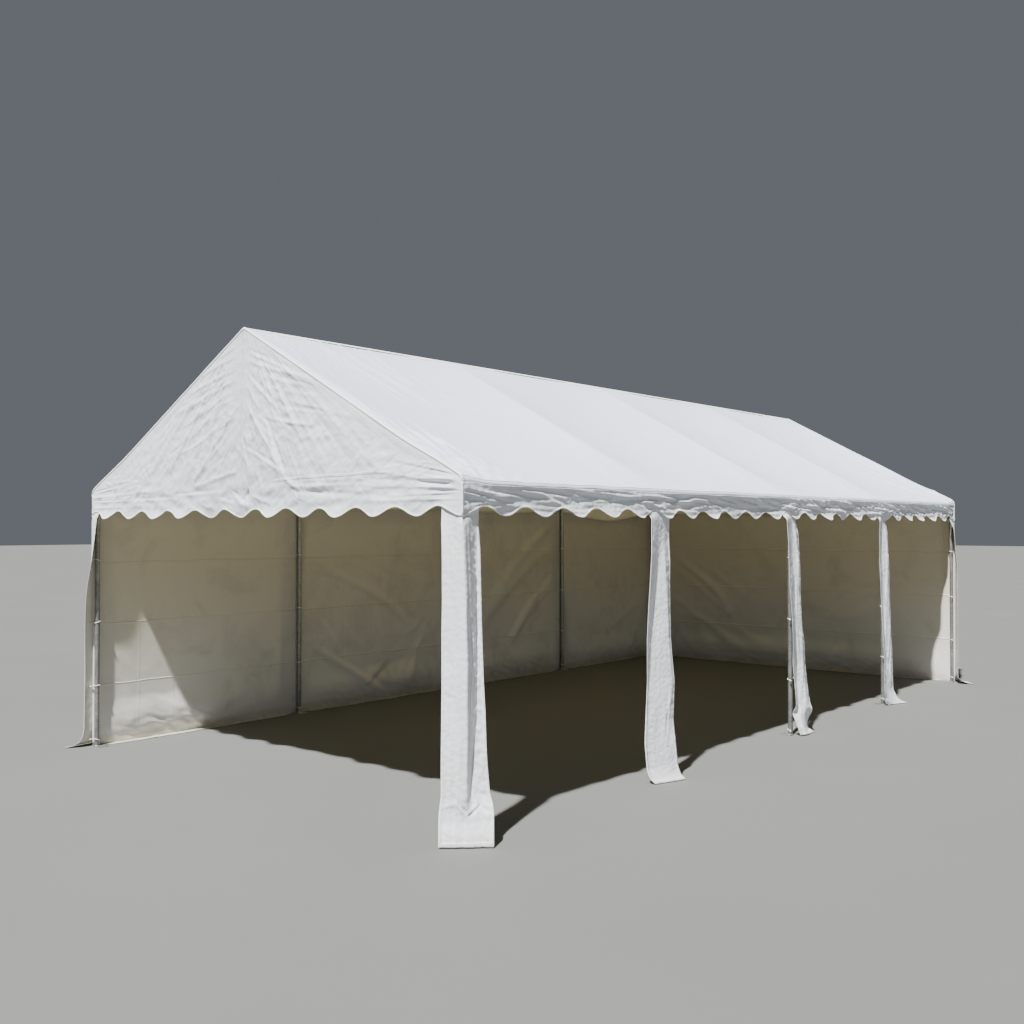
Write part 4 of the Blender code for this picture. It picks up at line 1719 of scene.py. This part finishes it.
def near_corner_levels() -> tuple[Level, ...]:
    """Levels of the near corner's cover, worked out from the photo from the top down."""
    return (
        Level(1.955, 0.000, 0.000, (0, 90, 94), (0.50, 0.70)),
        Level(1.80, 0.002, 0.000, (2, 97, 97), (0.50, 0.80)),
        Level(1.74, 0.010, -0.002, (6, 103, 92), (0.50, 0.87)),
        Level(1.69, 0.018, -0.002, (8, 105, 76), (0.50, 0.90)),
        Level(1.55, 0.028, -0.003, (12, 107, 58), (0.50, 0.91)),
        Level(1.19, 0.038, -0.005, (18, 107, 50), (0.50, 0.90)),
        Level(0.93, 0.044, -0.007, (22, 106, 50), (0.50, 0.88)),
        Level(0.68, 0.048, -0.008, (26, 105, 50), (0.50, 0.83)),
        Level(0.45, 0.051, -0.010, (30, 112, 51), (0.50, 0.73)),
        Level(0.27, 0.052, -0.010, (32, 115, 52), (0.50, 0.64)),
        Level(0.215, 0.046, -0.010, (36, 84, 50), (0.50, 0.62)),
        Level(0.17, 0.040, -0.009, (42, 50, 47), (0.50, 0.62)),
        Level(0.13, 0.040, -0.010, (44, 45, 45), (0.50, 0.62)),
        Level(0.006, 0.064, -0.036, (44, 44, 44), (0.50, 0.62)),
    )


def far_front_levels() -> tuple[Level, ...]:
    """Levels of the left front cover, whose gable wing turns outwards and hides its side wing."""
    split, low_split = (0.43, 0.72), (0.19, 0.70)
    return (
        Level(1.955, 0.000, 0.016, (0, 90, 90), split),
        Level(1.785, 0.000, 0.016, (10, 90, 90), split),
        Level(1.62, 0.002, 0.018, (19, 90, 90), split),
        Level(1.46, 0.004, 0.022, (28, 90, 90), (0.42, 0.72)),
        Level(1.25, 0.008, 0.034, (44, 88, 90), (0.38, 0.70)),
        Level(0.93, 0.012, 0.069, (62, 88, 90), (0.26, 0.70)),
        Level(0.62, 0.014, 0.086, (74, 88, 90), (0.20, 0.70)),
        Level(0.30, 0.016, 0.086, (78, 88, 90), low_split),
        Level(0.12, 0.020, 0.084, (78, 87, 89), low_split),
        Level(0.05, 0.034, 0.066, (74, 86, 87), low_split),
        Level(0.016, 0.070, 0.020, (70, 84, 84), low_split),
        Level(0.006, 0.110, -0.040, (68, 82, 82), low_split),
    )


def far_back_levels(flare: float) -> tuple[Level, ...]:
    """Levels of a back corner's cover.

    Args:
        flare: How far its side wing swings out from the side, in degrees.

    Returns:
        The levels, from the top down.
    """
    split = (0.45, 0.75)
    levels = [Level(1.955, 0.0, 0.010, (0, 90, 90), split), Level(1.80, 0.0, 0.012, (2, 88, 90), split)]
    for height, share in ((1.70, 0.6), (1.24, 1.0), (0.64, 1.0), (0.20, 1.0), (0.06, 1.0)):
        swing = 90.0 - flare * share
        levels.append(Level(height, 0.012 * share, 0.016, (8.0 * share, swing, swing + 4.0), split))
    levels.append(Level(0.014, 0.070, -0.010, (10.0, 90.0 - flare, 80.0 - flare), split))
    levels.append(Level(0.006, 0.125, -0.050, (12.0, 84.0 - flare, 74.0 - flare), split))
    return tuple(levels)


# Levels of the covers between two bays, worked out from the photo, by the number of their post
LEG_LEVELS: dict[int, tuple[Level, ...]] = {
    2: (
        Level(1.955, 0.004, -0.033, (94, 94, 94)),
        Level(1.78, 0.004, -0.032, (96, 95, 96), (0.50, 0.54)),
        Level(1.70, 0.004, -0.038, (97, 90, 97), (0.54, 0.58)),
        Level(1.50, 0.005, -0.050, (100, 64, 99), (0.49, 0.66)),
        Level(1.22, 0.008, -0.064, (102, 65, 104), (0.38, 0.75)),
        Level(0.95, 0.012, -0.073, (103, 68, 106), (0.28, 0.80)),
        Level(0.675, 0.020, -0.054, (101, 70, 101), (0.14, 0.86)),
        Level(0.40, 0.030, -0.074, (76, 72, 94), (0.10, 0.76)),
        Level(0.265, 0.036, -0.084, (70, 69, 78), (0.10, 0.70)),
        Level(0.09, 0.045, -0.075, (70, 70, 74), (0.10, 0.70)),
        Level(0.035, 0.062, -0.070, (72, 72, 72), (0.10, 0.70)),
        Level(0.006, 0.100, -0.062, (72, 72, 72), (0.10, 0.70)),
    ),
    3: (
        Level(1.955, 0.000, -0.042, (99, 99, 99)),
        Level(1.80, 0.004, -0.042, (103, 101, 103), (0.50, 0.74)),
        Level(1.66, 0.004, -0.028, (104, 76, 104), (0.50, 0.72)),
        Level(1.42, 0.004, -0.010, (104, 68, 105), (0.54, 0.76)),
        Level(1.18, 0.006, -0.004, (106, 70, 106), (0.58, 0.80)),
        Level(0.875, 0.012, 0.030, (106, 78, 105), (0.50, 0.74)),
        Level(0.65, 0.018, 0.072, (105, 62, 105), (0.38, 0.62)),
        Level(0.42, 0.026, 0.092, (105, 52, 105), (0.38, 0.62)),
        Level(0.236, 0.036, 0.104, (105, 48, 103), (0.38, 0.64)),
        Level(0.17, 0.040, 0.100, (70, 86, 84), (0.25, 0.80)),
        Level(0.10, 0.045, 0.112, (64, 105, 104), (0.25, 0.70)),
        Level(0.03, 0.060, 0.120, (60, 114, 112), (0.25, 0.70)),
        Level(0.006, 0.085, 0.124, (62, 96, 96), (0.25, 0.70)),
    ),
    4: (
        Level(1.955, 0.000, -0.070, (99, 99, 99)),
        Level(1.80, 0.004, -0.072, (103, 101, 103), (0.44, 0.73)),
        Level(1.64, 0.004, -0.070, (103, 74, 102), (0.44, 0.73)),
        Level(1.35, 0.005, -0.058, (103, 70, 102), (0.44, 0.73)),
        Level(1.087, 0.008, -0.042, (104, 70, 103), (0.42, 0.72)),
        Level(0.80, 0.010, -0.018, (104, 74, 103), (0.42, 0.72)),
        Level(0.522, 0.014, 0.006, (105, 76, 103), (0.42, 0.72)),
        Level(0.30, 0.017, 0.015, (104, 80, 100), (0.38, 0.70)),
        Level(0.132, 0.020, 0.023, (102, 92, 90)),
        Level(0.05, 0.035, 0.050, (84, 84, 86)),
        Level(0.014, 0.055, 0.090, (78, 78, 78)),
        Level(0.006, 0.075, 0.125, (72, 72, 72)),
    ),
}


@dataclass(frozen=True)
class FootPlate:
    """A post's foot plate with rounded corners and the heads of two pegs in it."""

    half_x: float = 0.050
    half_y: float = 0.045
    thick: float = 0.005
    corner: float = 0.010
    corner_steps: int = 5
    peg_inset: float = 0.012

    def add(self, shape: Shape, x: float, y: float, inward: Vector) -> None:
        """Add the plate with its pegs and the weld round the tube.

        Args:
            shape: The mesh that it goes into.
            x: The post's place across the tent.
            y: The post's place along it.
            inward: The way that the plate reaches out from the post, along x and y.
        """
        middle = Vector((x + inward.x * (self.half_x - SLEEVE_RADIUS),
                         y + inward.y * (self.half_y - SLEEVE_RADIUS), 0.0))
        outline = []
        for quarter, (sx, sy) in enumerate(((1, 1), (-1, 1), (-1, -1), (1, -1))):
            for step in range(self.corner_steps):
                angle = math.pi / 2.0 * (quarter + step / (self.corner_steps - 1.0))
                outline.append((sx * (self.half_x - self.corner) + self.corner * math.cos(angle),
                                sy * (self.half_y - self.corner) + self.corner * math.sin(angle)))
        levels = ((0.0002, 1.0), (self.thick - 0.0008, 1.0), (self.thick, 0.985))
        add_skin(shape, [[shape.verts.new(middle + Vector((px * size, py * size, z))) for px, py in outline]
                         for z, size in levels])
        bead = 0.005
        bmesh.ops.create_cone(shape, cap_ends=False, segments=TUBE_SIDES, radius1=TUBE_RADIUS + bead,
                              radius2=TUBE_RADIUS - 0.0005, depth=bead,
                              matrix=Matrix.Translation((x, y, self.thick + bead / 2.0)))
        for way in (-1.0, 1.0):
            place = middle + Vector((way * (self.half_x - self.peg_inset),
                                     -way * (self.half_y - self.peg_inset), self.thick))
            raised = Matrix.Translation(place + Vector((0.0, 0.0, 0.002)))
            add_bright_cone(shape, raised, 14, (0.0075, 0.006), 0.004)


def add_bright_cone(shape: Shape, place: Matrix, sides: int, radii: Pair, depth: float) -> None:
    """Add a closed cone in the shape's second material.

    Args:
        shape: The mesh that it goes into.
        place: Its middle and the way that it points.
        sides: How many sides it has.
        radii: Its radius at the bottom and at the top.
        depth: Its length.
    """
    made = bmesh.ops.create_cone(shape, cap_ends=True, segments=sides, radius1=radii[0], radius2=radii[1],
                                 depth=depth, matrix=place)
    for vertex in made["verts"]:
        for face in vertex.link_faces:
            face.material_index = 1


@dataclass(frozen=True)
class SteelFrame:
    """The tube frame: posts on foot plates, rafters, and rails with their sleeves and bolts.

    lip is the chamfer of the tubes' ends, and joint the gap from a joint's middle to the tubes in it.
    """

    sizes: TentSizes
    lip: float = 0.0012
    joint: float = 0.046

    def add_tube(self, shape: Shape, start: Vector, end: Vector, radius: float = TUBE_RADIUS) -> None:
        """Add a closed tube with a small chamfer at each end.

        Args:
            shape: The mesh that it goes into.
            start: One end of its axis.
            end: The other end.
            radius: Its outer radius.
        """
        turn = (end - start).to_track_quat("Z", "Y").to_matrix()
        length = (end - start).length
        levels = ((0.0, radius - self.lip), (self.lip, radius), (length - self.lip, radius),
                  (length, radius - self.lip))
        add_skin(shape, [add_ring(shape, start, turn, size, TUBE_SIDES, place) for place, size in levels])

    def add_bolt(self, shape: Shape, place: Vector, axis: Vector) -> None:
        """Add a bolt through a sleeve: a washer and a hexagon head on each side.

        Args:
            shape: The mesh that it goes into.
            place: The bolt's middle.
            axis: The way that it points.
        """
        # Sides, radius, and where it begins and ends over the sleeve
        washer, head = (16, 0.0085, 0.0, 0.0016), (6, 0.0066, 0.0016, 0.0066)
        across = axis.normalized()
        for way in (-1.0, 1.0):
            turn = (across * way).to_track_quat("Z", "Y").to_matrix().to_4x4()
            for sides, radius, low, high in (washer, head):
                middle = place + across * way * (SLEEVE_RADIUS - 0.0006 + (low + high) / 2.0)
                add_bright_cone(shape, Matrix.Translation(middle) @ turn, sides, (radius, radius * 0.94),
                                high - low)

    def finish(self, name: str, shape: Shape, node: str, finishes: Finishes) -> None:
        """Turn a shape into a piece of galvanised steel.

        Args:
            name: The piece's name.
            shape: The mesh as it is built.
            node: The CAD node that it stands for.
            finishes: The tent's materials.
        """
        item = shape_object(name, shape, finishes.tube, finishes.bolt)
        item.data.set_sharp_from_angle(angle=math.radians(40))
        settle(item, [node])

    def build_rail(self, name: str, node: str, x: float, arms: Sequence[Vector], finishes: Finishes) -> None:
        """Build a rail with its connectors.

        Args:
            name: The piece's name.
            node: The CAD node that it stands for.
            x: The rail's place across the tent.
            arms: Directions of the sleeves at each frame.
            finishes: The tent's materials.
        """
        sizes = self.sizes
        height = sizes.axis_height(x)
        run = sizes.end_y + SLEEVE_RADIUS
        shape = bmesh.new()
        self.add_tube(shape, Vector((x, -run, height)), Vector((x, run, height)))
        half = CROSS_SLEEVE_LENGTH / 2.0
        for y in sizes.frame_ys:
            low, high = max(y - half, -run), min(y + half, run)
            self.add_tube(shape, Vector((x, low, height)), Vector((x, high, height)), SLEEVE_RADIUS)
            joint = Vector((x, y, height))
            for arm in arms:
                self.add_tube(shape, joint, joint + arm * SLEEVE_LENGTH, SLEEVE_RADIUS)
                self.add_bolt(shape, joint + arm * (SLEEVE_LENGTH - 0.030), Vector((0.0, 1.0, 0.0)))
            for place in (low + 0.022, high - 0.022):
                self.add_bolt(shape, Vector((x, place, height)), Vector((1.0, 0.0, 0.0)))
        self.finish(name, shape, node, finishes)

    def build(self, finishes: Finishes) -> None:
        """Build the rails, rafters and posts.

        Args:
            finishes: The tent's materials.
        """
        sizes = self.sizes
        up = {side: Vector((-side.value * math.cos(sizes.pitch), 0.0, math.sin(sizes.pitch)))
              for side in Side}
        down = Vector((0.0, 0.0, -1.0))
        self.build_rail("ridge_tube", "ridge_rail", 0.0, [-up[Side.LEFT], -up[Side.RIGHT]], finishes)
        for side in Side:
            word = side.name.lower()
            x = side.value * sizes.post_x
            self.build_rail(f"eave_tube_{word}", f"eave_rail_{word}", x, [up[side], down], finishes)
            for number, y in enumerate(sizes.frame_ys, start=1):
                eave = Vector((x, y, sizes.axis_height(x)))
                ridge = Vector((0.0, y, sizes.axis_height(0.0)))
                shape = bmesh.new()
                self.add_tube(shape, eave + up[side] * self.joint, ridge - up[side] * self.joint)
                self.finish(f"rafter_tube_{word}_{number}", shape, f"rafter_{word}_{number}", finishes)
                shape = bmesh.new()
                self.add_tube(shape, Vector((x, y, 0.003)), Vector((x, y, eave.z - self.joint)))
                inward = Vector((-side.value, 0.0, 0.0))
                if number in (1, sizes.bays + 1):
                    inward.y = -math.copysign(1.0, y)
                FootPlate().add(shape, x, y, inward)
                self.finish(f"post_tube_{word}_{number}", shape, f"post_{word}_{number}", finishes)


@dataclass(frozen=True)
class ElasticTies:
    """The elastic ties that hold the cloth to the posts, each round its tube from eyelet to eyelet."""

    sizes: TentSizes
    cord_radius: float = 0.0028
    cord_sides: int = 8
    heights: tuple[float, ...] = (1.455, 0.965, 0.475, 0.06)

    def add_cord(self, shape: Shape, path: Sequence[Vector]) -> None:
        """Add a round cord.

        Args:
            shape: The mesh that it goes into.
            path: The places that it passes.
        """
        rings = []
        for index, place in enumerate(path):
            ahead = path[min(index + 1, len(path) - 1)] - path[max(index - 1, 0)]
            turn = ahead.to_track_quat("Z", "Y").to_matrix()
            rings.append(add_ring(shape, place, turn, self.cord_radius, self.cord_sides))
        add_skin(shape, rings)

    def add_tie(self, shape: Shape, post: Vector, outward: Vector, seed: int) -> None:
        """Add one tie: a cord from the cloth round the inner side of the post and back, with its toggle.

        Args:
            shape: The mesh that it goes into.
            post: The place on the post's axis.
            outward: The direction from the post to the cloth.
            seed: Picks its small differences from the others.
        """
        rng = np.random.default_rng(seed)
        aside = Vector((-outward.y, outward.x, 0.0))
        reach = TUBE_RADIUS + self.cord_radius
        tilt = rng.uniform(-0.010, 0.010)
        turn = math.pi * 0.62
        round_post = [post - outward * reach * math.cos(angle) + aside * reach * math.sin(angle)
                      + Vector((0.0, 0.0, tilt * math.sin(angle))) for angle in np.linspace(-turn, turn, 15)]
        spread = rng.uniform(0.032, 0.044)
        cloth = post + outward * (SLEEVE_RADIUS + 0.001)
        first = cloth - aside * spread - Vector((0.0, 0.0, tilt + 0.004))
        last = cloth + aside * spread + Vector((0.0, 0.0, tilt - 0.004))
        self.add_cord(shape, [first, *round_post, last])
        flattened = Matrix.Diagonal((1, 1, 0.8, 1))
        for place, size in ((first, 0.0075), (last, 0.0060)):
            bmesh.ops.create_icosphere(shape, subdivisions=2, radius=size,
                                       matrix=Matrix.Translation(place - outward * 0.004) @ flattened)

    def build(self, finishes: Finishes) -> None:
        """Build the ties of every post.

        Args:
            finishes: The tent's materials.
        """
        sizes = self.sizes
        for side in Side:
            for number, y in enumerate(sizes.frame_ys, start=1):
                shape = bmesh.new()
                outward = Vector((side.value, 0.0, 0.0))
                for index, height in enumerate(self.heights):
                    uneven = 0.012 * math.sin(7.0 * number + index)
                    place = Vector((side.value * sizes.post_x, y, height + uneven))
                    self.add_tie(shape, place, outward, 10 * number + index + 500 * (side.value + 1))
                settle(shape_object(f"ties_{side.name.lower()}_{number}", shape, finishes.cord))


@dataclass(frozen=True)
class Studio:
    """The pale floor, the soft lights and the camera at the photo's place.

    camera_heading and camera_rise are in degrees, and sun points towards the sun.
    """

    camera_place: tuple[float, float, float] = (5.982, -8.233, 1.730)
    camera_heading: float = -40.579
    camera_rise: float = 0.765
    focal_pixels: float = 1066.0
    picture_pixels: float = 1024.0
    sensor: float = 36.0
    sun: tuple[float, float, float] = (0.145, -0.56, 1.0)
    sun_strength: float = 12.0
    sun_colour: str = "#FFFEFB"
    sky_strength: float = 0.22
    sky_colour: str = "#CBD3DE"

    def build(self) -> None:
        """Build the stage."""
        self.build_floor()
        self.build_lights()
        self.build_camera()

    def build_floor(self) -> None:
        """Lay a wide level floor."""
        shape = bmesh.new()
        bmesh.ops.create_grid(shape, x_segments=8, y_segments=8, size=90.0)
        shape_object("studio_floor", shape, StudioFloor().build())

    def build_lights(self) -> None:
        """Set a key light from the photo's sunny side and an even fill from all round."""
        world = bpy.data.worlds.new("studio")
        bpy.context.scene.world = world
        world.use_nodes = True
        sky = world.node_tree.nodes["Background"]
        sky.inputs["Color"].default_value = hex_colour(self.sky_colour)
        sky.inputs["Strength"].default_value = self.sky_strength
        key = bpy.data.lights.new("soft_key", "SUN")
        key.energy = self.sun_strength
        key.angle = math.radians(1.6)
        key.color = hex_colour(self.sun_colour)[:3]
        lamp = link_object("soft_key", key)
        lamp.rotation_mode = "QUATERNION"
        lamp.rotation_quaternion = Vector(self.sun).normalized().to_track_quat("Z", "Y")

    def build_camera(self) -> None:
        """Set the camera where the photo was taken."""
        data = bpy.data.cameras.new("photo_camera")
        data.sensor_width = self.sensor
        data.lens = self.sensor * self.focal_pixels / self.picture_pixels
        data.clip_end = 300.0
        camera = link_object("photo_camera", data)
        heading, rise = math.radians(self.camera_heading), math.radians(self.camera_rise)
        level = math.cos(rise)
        look = Vector((math.sin(heading) * level, math.cos(heading) * level, math.sin(rise)))
        camera.location = self.camera_place
        camera.rotation_mode = "QUATERNION"
        camera.rotation_quaternion = look.to_track_quat("-Z", "Y")
        bpy.context.scene.camera = camera


@dataclass(frozen=True)
class Tent:
    """The whole tent, as its sub-assemblies in the order that they are put up."""

    sizes: TentSizes
    finishes: Finishes

    def wall_panels(self) -> list[WallCloth]:
        """List the walls: one panel a bay on the left side, and one across the back."""
        sizes = self.sizes
        reach = sizes.end_y + SLEEVE_RADIUS
        plane = -(sizes.post_x + SLEEVE_RADIUS + 0.002)
        seam = 0.001
        panels = []
        for bay in range(sizes.bays):
            first, last = bay == 0, bay == sizes.bays - 1
            panels.append(WallCloth(
                sizes, f"wall_cloth_left_{bay + 1}", (f"wall_left_{bay + 1}",),
                start=-reach if first else sizes.frame_ys[bay] + seam,
                end=reach if last else sizes.frame_ys[bay + 1] - seam, plane=plane, across_tent=False,
                seed=60 + 7 * bay, top_sag=0.10 if last else 0.012, slack=0.25 if first else 1.0))
        width = sizes.post_x + SLEEVE_RADIUS
        panels.append(WallCloth(sizes, "wall_cloth_back", ("wall_back",), -width, width,
                                sizes.end_y + SLEEVE_RADIUS + 0.002, across_tent=True, seed=97,
                                columns=131, rows=64))
        return panels

    def covers(self, valances: dict[Side, SideValance], gables: dict[End, GableCloth]) -> list[HangingCover]:
        """List the covers of the ten posts.

        Args:
            valances: The side valances, which hang in front of the covers.
            gables: The gables, which hang in front of the corner covers.

        Returns:
            The covers.
        """
        sizes = self.sizes
        last = sizes.bays + 1
        left, right = valances[Side.LEFT], valances[Side.RIGHT]
        front, back = gables[End.FRONT], gables[End.BACK]
        creases = fold_rows(
            (-0.145, 0.205, -0.055, 0.235, 0.006, 0.007, CREASE),
            (-0.055, 0.235, 0.004, 0.165, 0.012, 0.008, LAP),
            (0.080, 0.225, 0.002, 0.165, 0.012, 0.008, LAP),
            (0.080, 0.225, 0.145, 0.200, 0.006, 0.007, CREASE),
            (-0.060, 1.70, -0.050, 0.30, 0.0035, 0.010), (-0.100, 1.60, -0.085, 0.50, -0.003, 0.012),
            (-0.025, 1.75, -0.020, 0.40, -0.0035, 0.009))
        eyelet = fold_rows(
            (-0.012, 0.352, 0.030, 0.345, 0.004, 0.006, CREASE),
            (0.034, 0.350, 0.006, 0.300, 0.004, 0.006, CREASE),
            (0.060, 0.62, 0.052, 0.30, -0.006, 0.008), (0.080, 0.56, 0.040, 0.42, 0.006, 0.007, CREASE))
        # Slack folds that cross the two farther covers
        slack = fold_rows(
            (-0.09, 1.70, -0.05, 1.10, 0.009, 0.010, LAP), (-0.04, 1.45, 0.02, 0.85, 0.010, 0.012, LAP),
            (0.05, 1.30, -0.02, 0.60, 0.009, 0.010), (0.10, 0.95, 0.00, 0.30, 0.012, 0.013, LAP),
            (-0.08, 0.80, 0.03, 0.26, 0.010, 0.012, LAP), (0.04, 1.75, 0.07, 1.35, 0.007, 0.009))
        covers = [
            HangingCover(sizes, right, front, 1, near_corner_levels(), 131, 0.30, creases, 61, 201, 0.0070),
            HangingCover(sizes, left, front, 1, far_front_levels(), 141, 0.30, (), 41, 111),
            HangingCover(sizes, right, back, last, far_back_levels(29.0), 151, 0.30, (), 41, 111),
            HangingCover(sizes, left, back, last, far_back_levels(4.0), 161, 0.30, (), 31, 81),
        ]
        crumples = {2: (eyelet, 0.0042), 3: (slack, 0.0075), 4: (slack, 0.0075)}
        for number, levels in LEG_LEVELS.items():
            folds, crumple = crumples[number]
            covers.append(HangingCover(sizes, right, front, number, levels, 171 + 10 * number, folds=folds,
                                       crumple=crumple))
            covers.append(HangingCover(sizes, left, front, number, levels, 169 + 10 * number, columns=23,
                                       rows=81))
        return covers

    def build(self) -> None:
        """Build every sub-assembly."""
        sizes, finishes = self.sizes, self.finishes
        SteelFrame(sizes).build(finishes)
        RoofCover(sizes).build(finishes)
        gables = {End.FRONT: GableCloth(sizes, End.FRONT),
                  End.BACK: GableCloth(sizes, End.BACK, columns=171, rows=39, seed=31)}
        # The left valance hangs lower, over the walls
        low_left = sizes.valance_low - 0.075
        valances = {Side.RIGHT: SideValance(sizes, Side.RIGHT, sizes.valance_low),
                    Side.LEFT: SideValance(sizes, Side.LEFT, low_left, columns=321, rows=17, seed=51)}
        parts = [*gables.values(), *valances.values(), *self.wall_panels(), *self.covers(valances, gables)]
        for part in parts:
            part.build(finishes)
        ElasticTies(sizes).build(finishes)


def main() -> None:
    """Build the studio and the tent in order."""
    logging.basicConfig(level=logging.INFO, format="%(name)s: %(message)s")
    Studio().build()
    Tent(TentSizes.from_frame(), Finishes.make()).build()


if __name__ == "__main__":
    main()
